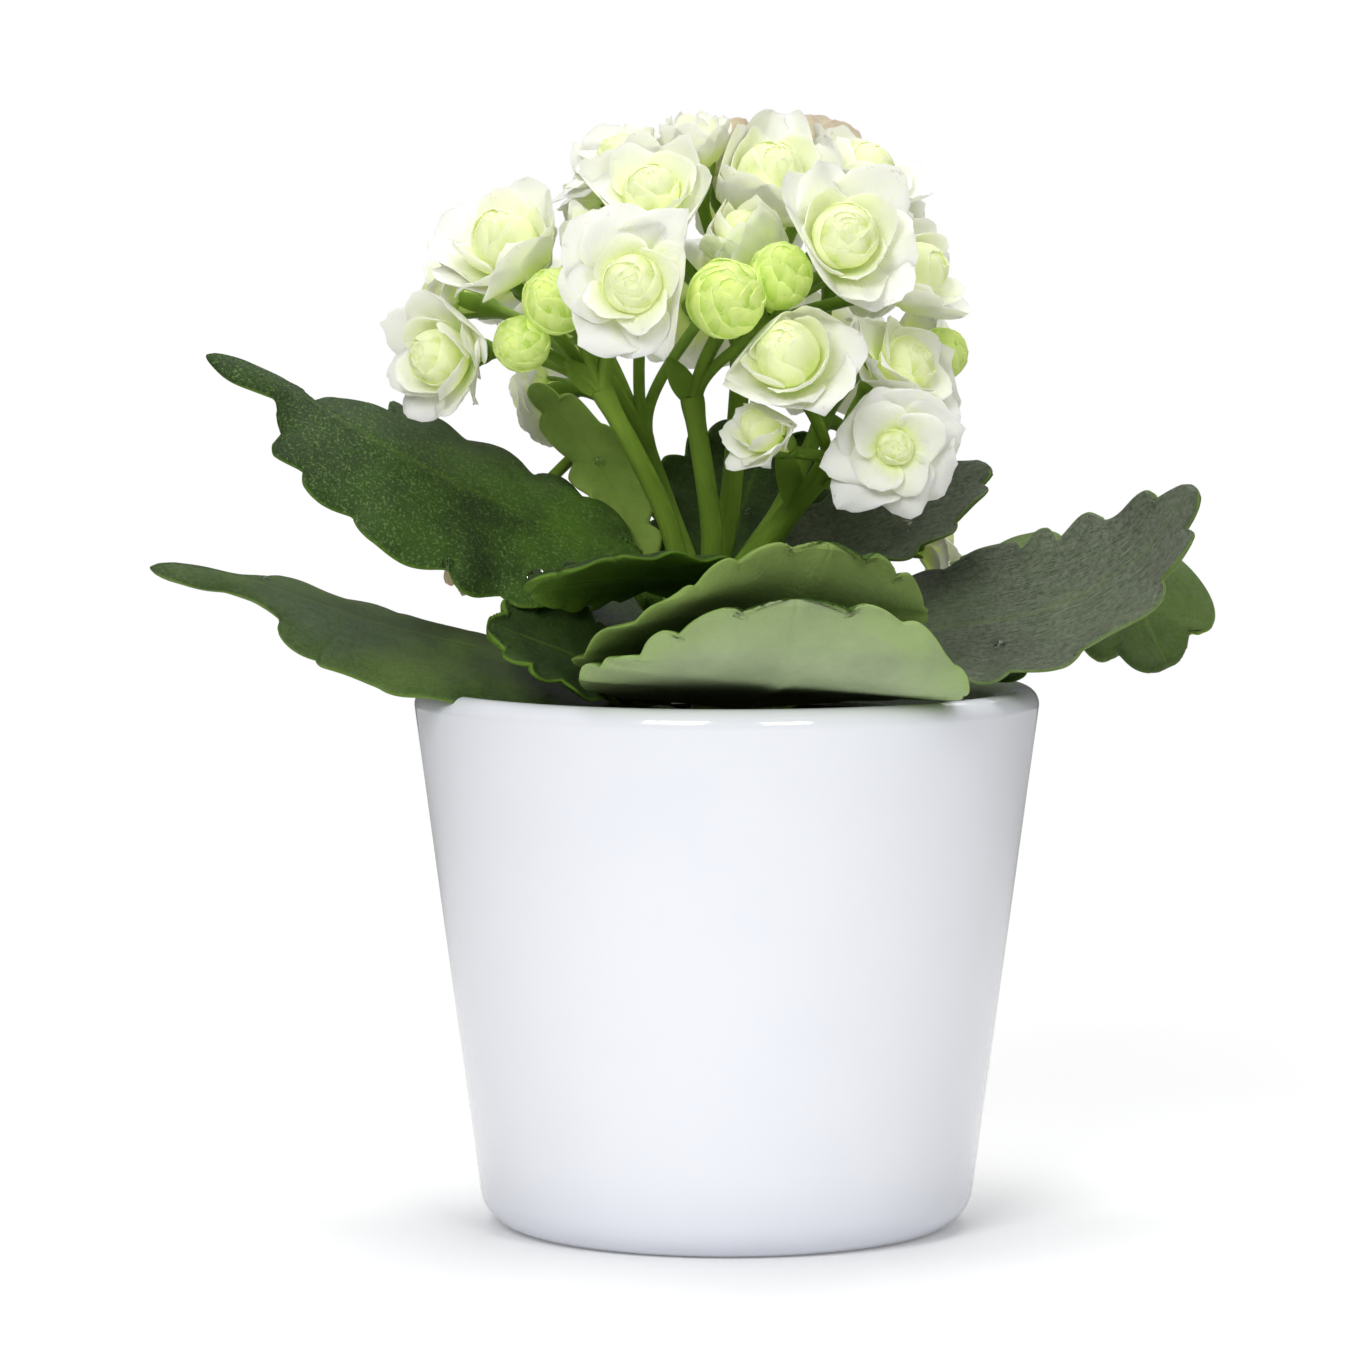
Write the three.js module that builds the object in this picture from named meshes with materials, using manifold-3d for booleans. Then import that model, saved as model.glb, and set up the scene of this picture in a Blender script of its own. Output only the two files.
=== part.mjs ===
// Potted kalanchoe with double white flowers, in a plain glazed cover pot.
// Millimetres, +Z up. The origin is the centre of the pot's foot; the front faces -Y.

import * as THREE from "three";
import { mergeVertices } from "three/addons/utils/BufferGeometryUtils.js";
import Module from "manifold-3d";

const wasm = await Module();
wasm.setup();

// ---- Driving dimensions

const gap = 0.3; // clearance between pieces that rest on each other

const coverPot = {
  height: 69.5,
  rimRadius: 40, // widest, just under the lip
  footRadius: 31.8, // across the heel
  heelRadius: 5.5, // where the wall turns under into the flat foot
  innerHeelRadius: 4,
  wall: 4.4, // at the lip
  footWall: 2.8,
  floor: 5,
  sides: 32,
};

const nurseryPot = {
  rimRadius: 33.4,
  baseRadius: 24.5,
  top: 65,
  wall: 1,
  lip: 1.4, // how far the rolled rim stands out
  lipDepth: 3,
  drainHoles: 4,
  drainRadius: 3,
  drainCircle: 14,
  drainSides: 8,
  sides: 24,
};

const soil = {
  top: 60,
  lump: 0.45, // height of the crumbs' swell
  lumpLength: 11, // from one swell to the next
  rings: 4,
};

const mainStem = {
  x: -1.5,
  y: -1,
  rootDepth: 12, // how deep the stem stands in its hole in the soil
  radius: 3.4,
  crownRadius: 5.4, // where the flower stalks leave
  crownBase: 73,
  crownFlare: 6, // over which the stem widens
  crownTop: 80,
  sides: 10,
};

const leafThickness = 1.8;
const petioleWidth = 4.2;
const petioleShare = 0.1; // of a leaf's length
const toothDepth = 0.22; // how deep the notches go, as a share of the half width
const firstTooth = 0.2; // where the teeth begin, as a share of the blade
const petalClearance = 0.3; // between the petals of neighbouring blooms

// ---- Colours

const finishes = {
  ceramic: { color: 0xeceef2, roughness: 0.12, metalness: 0 },
  plastic: { color: 0x1b1b1c, roughness: 0.45, metalness: 0 },
  soil: { color: 0x2d211a, roughness: 0.95, metalness: 0 },
  stem: { color: 0x5d8a35, roughness: 0.5, metalness: 0 },
  leaf: { color: 0x33502a, roughness: 0.4, metalness: 0 },
  petal: { color: 0xf1f4dc, roughness: 0.6, metalness: 0 },
  bud: { color: 0xc8e08a, roughness: 0.6, metalness: 0 },
};

// ---- Leaves. Each leaves the stem at a height and runs through its points to its tip;
// "faces" is the way its upper side looks, from root to tip. broadest is the share of the
// blade's length where it is widest, and a higher roundness makes both ends more pointed.
// cup > 0 lifts the edges and cup < 0 lets them droop, in radians.

const leaves = {
  leaf_upper_left: {
    from: 77,
    path: [[-14, -5, 85.5], [-27, -8, 91.8], [-42, -10, 99.3], [-55, -9, 107], [-66, -6, 112]],
    faces: [[0.3, -0.55, 0.8], [0.42, -0.6, 0.68]],
    width: 30,
    broadest: 0.38,
    roundness: 1.4,
    cup: -0.2,
    teeth: 4,
  },
  leaf_lower_left: {
    from: 65,
    path: [[-14, -6, 68.5], [-27, -8.5, 73], [-45, -10, 77.7], [-62, -10.5, 83.3], [-73, -10, 85.3]],
    faces: [[0.2, -0.3, 0.95], [0.25, -0.35, 0.9]],
    width: 24,
    broadest: 0.46,
    roundness: 1.3,
    cup: -0.22,
    teeth: 5,
  },
  leaf_young_left: {
    from: 79,
    path: [[-10.6, 2.7, 84], [-13.4, 4, 92], [-18.5, 4.5, 100.5], [-25.2, 4, 107.8]],
    faces: [[0.1, -1, 0.1], [0.2, -1, 0.3]],
    width: 9,
    broadest: 0.5,
    roundness: 1,
    cup: 0.15,
    teeth: 2,
  },
  leaf_front_left: {
    from: 75,
    path: [[-3, -10, 83], [-7, -17, 85], [-15, -26, 85.5], [-25, -33, 84.6]],
    faces: [[0.2, 0.55, 0.8], [-0.1, 0.5, 0.9]],
    width: 22,
    broadest: 0.42,
    roundness: 1.1,
    cup: -0.15,
    teeth: 3,
  },
  leaf_front_middle: {
    from: 71,
    path: [[0, -9, 74.3], [0, -18, 76.8], [2, -27, 79], [6.5, -34, 81.5], [10, -38, 85], [12, -39.5, 90]],
    faces: [[-0.1, 0.1, 1], [-0.15, 0.2, 1], [-0.3, 0.5, 0.85], [-0.6, 0.8, 0.3]],
    width: 45,
    broadest: 0.58,
    roundness: 0.95,
    cup: -0.05,
    teeth: 4,
  },
  leaf_front_low: {
    from: 66,
    path: [[1.5, -9, 68], [3, -20, 70], [5, -31, 72], [7, -40, 74], [7.8, -45.5, 78], [8, -48, 83.6]],
    faces: [[0, 0.1, 1], [0, 0.15, 1], [0, 0.45, 0.9], [-0.1, 0.95, 0.35]],
    width: 46.5,
    broadest: 0.55,
    roundness: 0.9,
    cup: 0,
    teeth: 5,
  },
  leaf_left_inner: {
    from: 70,
    path: [[-8, -6, 71], [-15, -12, 72], [-22, -17, 75], [-30, -21, 78.3]],
    faces: [[0.2, -0.5, 0.8], [0.2, -0.7, 0.7]],
    width: 19,
    broadest: 0.5,
    roundness: 1,
    cup: 0.25,
    teeth: 4,
  },
  leaf_right: {
    from: 72,
    path: [[12, -3, 74], [26, -6, 76.5], [41, -9, 79.5], [52, -11, 86], [59, -12, 95.5]],
    faces: [[-0.1, -0.35, 0.95], [-0.75, -0.5, 0.45]],
    width: 26,
    broadest: 0.48,
    roundness: 1.1,
    cup: 0.15,
    teeth: 5,
  },
  leaf_right_low: {
    from: 64.5,
    path: [[12, 4, 69.5], [26, 7, 74.5], [40, 8, 80.8], [51, 5, 80.8], [56.5, -1, 71.8]],
    faces: [[0.1, -0.2, 1], [0.1, -0.3, 0.95], [0.15, -0.5, 0.8], [0.1, -0.95, 0.3]],
    width: 30,
    broadest: 0.56,
    roundness: 1.15,
    cup: -0.05,
    teeth: 4,
  },
  leaf_upper_right: {
    from: 77.5,
    path: [[7.5, 2, 82.8], [15, 5.5, 87], [25, 8, 91.3], [34, 10, 97.3]],
    faces: [[0.1, -0.5, 0.85], [-0.3, -0.55, 0.8]],
    width: 18,
    broadest: 0.5,
    roundness: 1.1,
    cup: 0.2,
    teeth: 3,
  },
  leaf_upper_back: {
    from: 76,
    path: [[-0.5, 9, 82], [1.5, 16, 89], [4, 22, 96], [6, 26, 102.5]],
    faces: [[-0.1, -0.6, 0.7], [-0.1, -0.9, 0.4]],
    width: 25,
    broadest: 0.52,
    roundness: 1,
    cup: 0.25,
    teeth: 4,
  },
  leaf_back_left: {
    from: 69,
    path: [[-9, 8, 76], [-18, 17, 82], [-28, 26, 86], [-37, 34, 87]],
    faces: [[0.2, -0.2, 0.95], [0.1, -0.1, 1]],
    width: 26,
    broadest: 0.5,
    roundness: 1.1,
    cup: -0.2,
    teeth: 4,
  },
  leaf_back_right: {
    from: 68,
    path: [[3.5, 11, 74], [7.5, 23, 79.5], [12, 36, 82], [16, 49, 80.5]],
    faces: [[-0.1, -0.1, 0.95], [0, 0, 1]],
    width: 27,
    broadest: 0.5,
    roundness: 1.1,
    cup: -0.25,
    teeth: 4,
  },
};

// ---- Flower stalks: from the crown to the point where each one branches

const stalks = {
  flower_stalk_left: { foot: [-4.2, -2.6], via: [-8, -7, 92], fork: [-16, -12, 108], thick: 1.7 },
  flower_stalk_front: { foot: [-0.6, -4], via: [-2, -8, 90], fork: [-4.5, -11, 107], thick: 1.8 },
  flower_stalk_middle: { foot: [0.2, 1.2], via: [0.3, -0.5, 92], fork: [2, 0, 113], thick: 1.8 },
  flower_stalk_right: { foot: [2.6, -1.6], via: [5.5, -7.5, 89], fork: [13, -13, 98.5], thick: 1.9 },
  flower_stalk_back_left: { foot: [-2.8, 3.4], via: [-7, 7, 91], fork: [-11, 10, 102], thick: 1.4 },
  flower_stalk_back_right: { foot: [2.8, 3.6], via: [7, 8, 92], fork: [13, 12, 104], thick: 1.5 },
};

const stalkSides = 7;
const stalkSections = 5;
const stalkRise = 3; // a stalk leaves the crown straight up
const stalkTaper = 0.85; // its girth at the fork

const footstalk = {
  sides: 4,
  sections: 3,
  bloomGirth: 0.95,
  budGirth: 0.8,
  rootDepth: 1.5, // how far it starts inside the stalk
  ease: 0.3, // how far it runs on before it turns, as a share of its reach
  lean: 0.8, // how much it leaves the stalk towards its flower rather than upwards
  calyx: 0.82, // the share of its length where its calyx starts to widen
  calyxRim: 0.3, // how far the calyx stands out round the flower's tube
};

// Small bracts on the stalks, from root to tip, each fused to the stalk that it grows on.
// Their outline is [share of the length, share of the width].
const bractThickness = 0.9;
const bractOutline = [[0, 0.4], [0.5, 1], [1, 0.12]];
const bracts = [
  { on: "flower_stalk_right", root: [8.6, -10.4, 93], tip: [6.6, -15, 102.4], width: 3.4 },
  { on: "flower_stalk_right", root: [4.2, -5.6, 85.5], tip: [9.6, -11.5, 94.4], width: 3 },
  { on: "flower_stalk_right", root: [13, -13, 98], tip: [15.4, -16.8, 100.6], width: 3.4 },
  { on: "flower_stalk_left", root: [-16, -12, 107.5], tip: [-20.5, -15, 111.5], width: 3.2 },
  { on: "flower_stalk_front", root: [-4.5, -11, 106.5], tip: [-7.5, -16, 112], width: 3.2 },
];

// ---- Blooms: centre, the way each faces as [azimuth, elevation] in degrees (-90 is to the
// front), its radius with the petals out, and how far it has opened

const blooms = {
  bloom_01: { at: [-11.6, -26.5, 121], faces: [-95, 6], radius: 8.9, kind: "open" },
  bloom_02: { at: [13.8, -21.5, 125.4], faces: [-82, 22], radius: 9, kind: "cup" },
  bloom_03: { at: [7.8, -24.3, 110.8], faces: [-98, 28], radius: 8.6, kind: "cup" },
  bloom_04: { at: [-26.6, -14.6, 123.2], faces: [-118, 48], radius: 8.8, kind: "cup" },
  bloom_05: { at: [-33.6, -10.5, 112.2], faces: [-138, -4], radius: 7.8, kind: "cup" },
  bloom_06: { at: [-12.6, -2, 134.6], faces: [-140, 64], radius: 8, kind: "open" },
  bloom_07: { at: [-9.2, -13.5, 130.8], faces: [-100, 40], radius: 8.8, kind: "open" },
  bloom_08: { at: [-15.8, -14, 123.6], faces: [-125, 54], radius: 6.2, kind: "half" },
  bloom_09: { at: [-0.5, 5, 135], faces: [90, 80], radius: 7.4, kind: "faded" },
  bloom_10: { at: [4.9, -8.6, 131.6], faces: [-82, 42], radius: 9.2, kind: "cup" },
  bloom_11: { at: [10.5, 6, 134], faces: [55, 62], radius: 7.8, kind: "faded" },
  bloom_12: { at: [1.8, -15.6, 124.2], faces: [-88, 62], radius: 6.8, kind: "half" },
  bloom_13: { at: [20.8, -9, 121.2], faces: [-30, 22], radius: 8, kind: "cup" },
  bloom_14: { at: [20.6, -13, 109.6], faces: [-38, 30], radius: 8.8, kind: "open" },
  bloom_15: { at: [20.6, -22, 101], faces: [-84, -4], radius: 7.8, kind: "flat" },
  bloom_16: { at: [5.6, -24, 102.2], faces: [-135, 30], radius: 5.4, kind: "cup" },
  bloom_17: { at: [-23.2, 12, 106.4], faces: [165, -10], radius: 6.6, kind: "open" },
  bloom_18: { at: [25.6, 16.4, 87.2], faces: [12, 8], radius: 6.2, kind: "open" },
  bloom_19: { at: [-33.5, 9, 86], faces: [176, -30], radius: 4.6, kind: "faded" },
  bloom_20: { at: [-34.4, 1, 118.8], faces: [172, 14], radius: 7, kind: "open" },
  bloom_21: { at: [-14.5, 8, 132.4], faces: [150, 54], radius: 7.2, kind: "open" },
  bloom_22: { at: [-3.8, -6.5, 136], faces: [-115, 76], radius: 5.6, kind: "half" },
  bloom_23: { at: [21, 4.6, 126.4], faces: [16, 32], radius: 7.6, kind: "open" },
  bloom_24: { at: [15.6, -2.5, 131.6], faces: [-20, 58], radius: 8, kind: "cup" },
  bloom_25: { at: [-27, 13, 122], faces: [142, 32], radius: 8, kind: "open" },
  bloom_26: { at: [-13, 20, 127.5], faces: [112, 42], radius: 8.2, kind: "open" },
  bloom_27: { at: [3, 20, 128.2], faces: [86, 44], radius: 8.2, kind: "cup" },
  bloom_28: { at: [16, 16, 122.5], faces: [52, 30], radius: 8, kind: "open" },
  bloom_29: { at: [-20, 25, 115], faces: [118, 8], radius: 8, kind: "cup" },
  bloom_30: { at: [-3.5, 28, 117.5], faces: [94, 12], radius: 8.2, kind: "open" },
  bloom_31: { at: [12, 25, 111], faces: [66, 6], radius: 7.8, kind: "cup" },
  bloom_32: { at: [23.6, 11, 111.5], faces: [24, 4], radius: 7.2, kind: "open" },
  bud_1: { at: [-0.3, -27.6, 119.4], faces: [-88, 22], radius: 5, kind: "bud" },
  bud_2: { at: [6.5, -22.8, 122.2], faces: [-72, 52], radius: 4.1, kind: "bud" },
  bud_3: { at: [-21.5, -21.8, 119], faces: [-110, 24], radius: 4.2, kind: "bud" },
  bud_4: { at: [-25.7, -20.5, 113.7], faces: [-112, 8], radius: 3.6, kind: "bud" },
  bud_5: { at: [27.2, -4.5, 112], faces: [-14, 46], radius: 3.4, kind: "bud" },
};

// The double corolla of each kind of bloom: [distance from the axis, height] of the petals'
// tips, of the notches between them and of where the outer petals bend up from the floor, and
// the heart's [girth, top], in shares of its radius
const corollas = {
  open: {
    outer: { tip: [1.05, 0.2], notch: [0.66, 0.28], bend: [0.6, 0.12] },
    inner: { tip: [0.66, 0.58], notch: [0.46, 0.46] },
    heart: [0.32, 0.72],
  },
  cup: {
    outer: { tip: [1, 0.52], notch: [0.68, 0.48], bend: [0.64, 0.2] },
    inner: { tip: [0.58, 0.84], notch: [0.5, 0.66] },
    heart: [0.4, 0.96],
  },
  half: {
    outer: { tip: [0.84, 0.95], notch: [0.6, 0.66], bend: [0.6, 0.3] },
    inner: { tip: [0.5, 1.1], notch: [0.4, 0.86] },
    heart: [0.27, 1],
  },
  flat: {
    outer: { tip: [1.06, 0.02], notch: [0.56, 0.16], bend: [0.56, 0.1] },
    inner: { tip: [0.74, 0.34], notch: [0.42, 0.3] },
    heart: [0.24, 0.46],
  },
  faded: {
    outer: { tip: [0.92, 0.62], notch: [0.56, 0.5], bend: [0.56, 0.24] },
    inner: { tip: [0.54, 0.9], notch: [0.38, 0.64] },
    heart: [0.3, 0.8],
  },
};

const lobes = 4; // petals in each row
const lobePoints = [0, 18, 45, 72]; // degrees round a lobe: its notch, shoulder, tip, shoulder
const lobeSpan = 90;
const shoulder = 0.93; // the shoulders' distance from the axis, as a share of the tip's
const petalLap = 0.05; // how far each petal's edge lies over the next one's
const petalRuffle = 0.07; // random waving of the crests
const petalThickness = 0.65;
const tubeLength = 0.42; // flower tube behind the petals, as a share of the radius
const tubeRadius = 1.5;
const throat = [1.15, -0.14]; // the tube's girth where the petals leave it, and its height
const footStep = [0.06, 0.02]; // the inner petals start this far outside the heart
const layerGap = 0.1; // between the layers of petals where they are pressed together
const innerBendShare = 0.5; // where an inner petal is thickest, between its foot and its tip
const heartTaper = 0.3; // how far the heart closes in by its shoulder, and how high that is
const heartRise = 0.7;
const budLength = 1.2; // from a bud's centre to the end of its tube, as a share of its radius
const budShape = {
  rows: 6,
  petals: 4,
  pointsPerPetal: 3,
  relief: 0.09,
  girth: 0.92,
  from: -60, // latitudes of its first and last rows, in degrees
  to: 74,
};

// Where heads crowd: how far a petal rises for each millimetre that it gives way, how early
// petals and buds start to give way, and how far in front of its base a bloom's centre lies
const crowdLift = 0.8;
const petalSoftness = 1.8;
const budSoftness = 0.2;
const headCentre = 0.3; // share of the radius
const crowdReach = 3; // heads further apart than this leave each other alone

// ---- Small helpers

const vec = (p) => new THREE.Vector3(...p);
const radians = THREE.MathUtils.degToRad;
const mix = THREE.MathUtils.lerp;

// Repeatable random numbers
function seeded(seed) {
  let state = seed >>> 0;
  return () => {
    state = (state * 1664525 + 1013904223) >>> 0;
    return state / 2 ** 32;
  };
}

function directionOf([azimuth, elevation]) {
  const a = radians(azimuth);
  const e = radians(elevation);
  return new THREE.Vector3(Math.cos(a) * Math.cos(e), Math.sin(a) * Math.cos(e), Math.sin(e));
}

function meanOf(points) {
  const sum = points.reduce((total, point) => total.add(point), new THREE.Vector3());
  return sum.divideScalar(points.length);
}

// The point at a share of the way through a list of evenly spaced ones
function alongList(list, share) {
  const place = share * (list.length - 1);
  const before = Math.min(Math.floor(place), list.length - 2);
  return vec(list[before]).lerp(vec(list[before + 1]), place - before);
}

// ---- From a closed mesh to a solid and back

function solidOf(geometry) {
  const bare = new THREE.BufferGeometry();
  bare.setAttribute("position", geometry.getAttribute("position"));
  bare.setIndex(geometry.getIndex());
  const merged = mergeVertices(bare, 1e-4);
  return new wasm.Manifold(
    new wasm.Mesh({
      numProp: 3,
      vertProperties: merged.getAttribute("position").array,
      triVerts: new Uint32Array(merged.getIndex().array),
    }),
  );
}

function geometryOf(solid) {
  const mesh = solid.getMesh();
  const geometry = new THREE.BufferGeometry();
  geometry.setAttribute("position", new THREE.BufferAttribute(mesh.vertProperties, 3));
  geometry.setIndex(new THREE.BufferAttribute(mesh.triVerts, 1));
  geometry.computeVertexNormals();
  return geometry;
}

function joined(solids) {
  return solids.reduce((whole, next) => whole.add(next));
}

// Keeps the outer skin: a sealed hollow is filled and a loose scrap is dropped
function wholeBody(solid) {
  return solid.decompose().reduce((a, b) => (b.volume() > a.volume() ? b : a));
}

// ---- Blades: a grid of points along and across, thick in the middle and thin at the rim.
// Both faces share the rim and are split into the same triangles.

function bladeGeometry(grid, thicknessAt) {
  const rows = grid.length;
  const columns = grid[0].length;
  const points = [];
  const face = [[], []];
  for (let i = 0; i < rows; i++) {
    face[0].push([]);
    face[1].push([]);
    for (let j = 0; j < columns; j++) {
      const onRim = i === 0 || j === 0 || i === rows - 1 || j === columns - 1;
      if (onRim) {
        face[0][i].push(points.length);
        face[1][i].push(points.length);
        points.push(grid[i][j]);
        continue;
      }
      const along = grid[i + 1][j].clone().sub(grid[i - 1][j]);
      const across = grid[i][j + 1].clone().sub(grid[i][j - 1]);
      const lift = across.cross(along).setLength(thicknessAt(i, j) / 2);
      face[0][i].push(points.length);
      points.push(grid[i][j].clone().add(lift));
      face[1][i].push(points.length);
      points.push(grid[i][j].clone().sub(lift));
    }
  }
  const index = [];
  for (let i = 0; i + 1 < rows; i++) {
    for (let j = 0; j + 1 < columns; j++) {
      const leaning = j < (columns - 1) / 2; // diagonals mirror about the midrib
      face.forEach((side, s) => {
        const [a, b, c, d] = [side[i][j], side[i][j + 1], side[i + 1][j + 1], side[i + 1][j]];
        const triangles = leaning ? [[a, b, c], [a, c, d]] : [[a, b, d], [b, c, d]];
        triangles.forEach((t) => index.push(...(s === 0 ? t : t.reverse())));
      });
    }
  }
  const geometry = new THREE.BufferGeometry();
  geometry.setAttribute(
    "position",
    new THREE.Float32BufferAttribute(points.flatMap((p) => p.toArray()), 3),
  );
  geometry.setIndex(index);
  return geometry;
}

// ---- Tapered round stems along a curve, with closed ends

function stemGeometry(curve, radiusAt, sections, sides) {
  const frames = curve.computeFrenetFrames(sections, false);
  const points = [];
  const index = [];
  for (let i = 0; i <= sections; i++) {
    const centre = curve.getPointAt(i / sections);
    for (let k = 0; k < sides; k++) {
      const turn = (2 * Math.PI * k) / sides;
      const out = frames.normals[i]
        .clone()
        .multiplyScalar(Math.cos(turn))
        .addScaledVector(frames.binormals[i], Math.sin(turn));
      points.push(centre.clone().addScaledVector(out, radiusAt(i / sections)));
    }
  }
  for (let i = 0; i < sections; i++) {
    for (let k = 0; k < sides; k++) {
      const a = i * sides + k;
      const b = i * sides + ((k + 1) % sides);
      index.push(a, b, b + sides, a, b + sides, a + sides);
    }
  }
  const last = sections * sides;
  for (let k = 1; k + 1 < sides; k++) {
    index.push(0, k + 1, k, last, last + k, last + k + 1);
  }
  const geometry = new THREE.BufferGeometry();
  geometry.setAttribute(
    "position",
    new THREE.Float32BufferAttribute(points.flatMap((p) => p.toArray()), 3),
  );
  geometry.setIndex(index);
  return geometry;
}

// ---- Turned shapes: a profile of [radius, height] from axis to axis, about Z

function turned(profile, sides) {
  const points = profile.map(([radius, height]) => new THREE.Vector2(radius, height));
  return new THREE.LatheGeometry(points, sides).rotateX(Math.PI / 2);
}

// An arc of [radius, height] points about a centre, from one angle to another in degrees
function arc([centreRadius, centreHeight], radius, from, to, steps) {
  return Array.from({ length: steps + 1 }, (_, i) => {
    const angle = radians(mix(from, to, i / steps));
    return [centreRadius + radius * Math.cos(angle), centreHeight + radius * Math.sin(angle)];
  });
}

// ---- Cover pot

function coverPotGeometry() {
  const { height, rimRadius, footRadius, heelRadius, innerHeelRadius } = coverPot;
  const { wall, footWall, floor, sides } = coverPot;
  const lipRadius = wall / 2;
  const innerCentre = footRadius - footWall - innerHeelRadius;
  const profile = [
    [0, 0],
    ...arc([footRadius - heelRadius, heelRadius], heelRadius, -90, -12, 4),
    ...arc([rimRadius - lipRadius, height - lipRadius], lipRadius, -8, 180, 5),
    ...arc([innerCentre, floor + innerHeelRadius], innerHeelRadius, 0, -90, 2),
    [0, floor],
  ];
  return turned(profile, sides);
}

// ---- Nursery pot: thin black plastic, with a rolled rim and drain holes

function nurseryPotGeometry() {
  const { rimRadius, baseRadius, top, wall, lip, lipDepth, sides } = nurseryPot;
  const { drainHoles, drainRadius, drainCircle, drainSides } = nurseryPot;
  const base = coverPot.floor + gap;
  const wallTop = rimRadius - lip;
  const profile = [
    [0, base],
    [baseRadius, base],
    [wallTop, top - lipDepth],
    [rimRadius, top - lipDepth],
    [rimRadius, top],
    [wallTop - wall, top],
    [baseRadius - wall, base + wall],
    [0, base + wall],
  ];
  const drains = Array.from({ length: drainHoles }, (_, i) => {
    const turn = (2 * Math.PI * (i + 0.5)) / drainHoles;
    const drill = new THREE.CylinderGeometry(drainRadius, drainRadius, 4 * wall, drainSides);
    drill.rotateX(Math.PI / 2);
    drill.translate(drainCircle * Math.cos(turn), drainCircle * Math.sin(turn), base);
    return solidOf(drill);
  });
  return geometryOf(solidOf(turned(profile, sides)).subtract(joined(drains)));
}

// ---- Potting soil: fills the nursery pot, with a crumbly top and the stem's hole

function soilGeometry() {
  const { rimRadius, baseRadius, top, wall, lip, lipDepth, sides } = nurseryPot;
  const base = coverPot.floor + 2 * gap + wall;
  const innerRadius = (z) => {
    const share = (z - coverPot.floor) / (top - lipDepth - coverPot.floor);
    return mix(baseRadius, rimRadius - lip, share) - wall - 2 * gap;
  };
  const edge = innerRadius(soil.top);
  const profile = [[0, base], [innerRadius(base), base]];
  for (let ring = 0; ring <= soil.rings; ring++) {
    profile.push([edge * (1 - ring / soil.rings), soil.top]);
  }
  const geometry = turned(profile, sides);
  const position = geometry.getAttribute("position");
  const wave = (2 * Math.PI) / soil.lumpLength;
  for (let i = 0; i < position.count; i++) {
    const [x, y, z] = [position.getX(i), position.getY(i), position.getZ(i)];
    const atEdge = Math.hypot(x, y) > edge - gap;
    if (z < soil.top || atEdge) continue;
    const swell = Math.sin(wave * x + 1) * Math.cos(wave * y) + Math.sin((wave / 2) * (x + y));
    position.setZ(i, z + soil.lump * (1 + swell));
  }
  const hole = new THREE.CylinderGeometry(
    mainStem.radius + gap,
    mainStem.radius + gap,
    2 * (mainStem.rootDepth + gap),
    mainStem.sides,
  );
  hole.rotateX(Math.PI / 2).translate(mainStem.x, mainStem.y, soil.top);
  return geometryOf(solidOf(geometry).subtract(solidOf(hole)));
}

// ---- Main stem, widening to the crown that carries the flower stalks

function mainStemGeometry() {
  const { radius, crownRadius, crownBase, crownFlare, crownTop, rootDepth, sides, x, y } =
    mainStem;
  const profile = [
    [0, soil.top - rootDepth],
    [radius, soil.top - rootDepth],
    [radius, crownBase - crownFlare],
    [crownRadius, crownBase],
    [crownRadius, crownTop],
    [0, crownTop],
  ];
  return turned(profile, sides).translate(x, y, 0);
}

// ---- Leaves

// Half the width at a share of the length: a petiole, then an egg-shaped blade whose rounded
// teeth rise slowly and fall back fast towards the tip
function leafHalfWidth(u, { width, broadest, roundness, teeth }) {
  const bladeShare = Math.max(0, (u - petioleShare) / (1 - petioleShare));
  const outline = (b) => (b ** broadest * (1 - b) ** (1 - broadest)) ** roundness;
  const broad = outline(bladeShare) / outline(broadest);
  const blade = (width / 2) * broad * toothFactor(bladeShare, teeth);
  return Math.max((petioleWidth / 2) * (1 - u), blade);
}

function toothFactor(bladeShare, teeth) {
  if (bladeShare <= firstTooth) return 1 - toothDepth / 2;
  const phase = (((bladeShare - firstTooth) / (1 - firstTooth)) * (teeth + 0.35)) % 1;
  const rise = 0.72;
  const tooth = phase < rise ? Math.sin((Math.PI / 2) * (phase / rise)) : (1 - phase) / (1 - rise);
  return 1 - toothDepth * (1 - tooth);
}

// Stations along the blade that catch each tooth's valley, shoulder and crest
function leafStations(teeth) {
  const shares = [0, 0.1, firstTooth];
  for (let t = 0; t < teeth; t++) {
    for (const phase of [0.36, 0.72, 0.98]) {
      shares.push(firstTooth + ((1 - firstTooth) * (t + phase)) / (teeth + 0.35));
    }
  }
  shares.push(0.985, 1);
  return [0, petioleShare / 2, ...shares.map((s) => mix(petioleShare, 1, s))];
}

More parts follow.
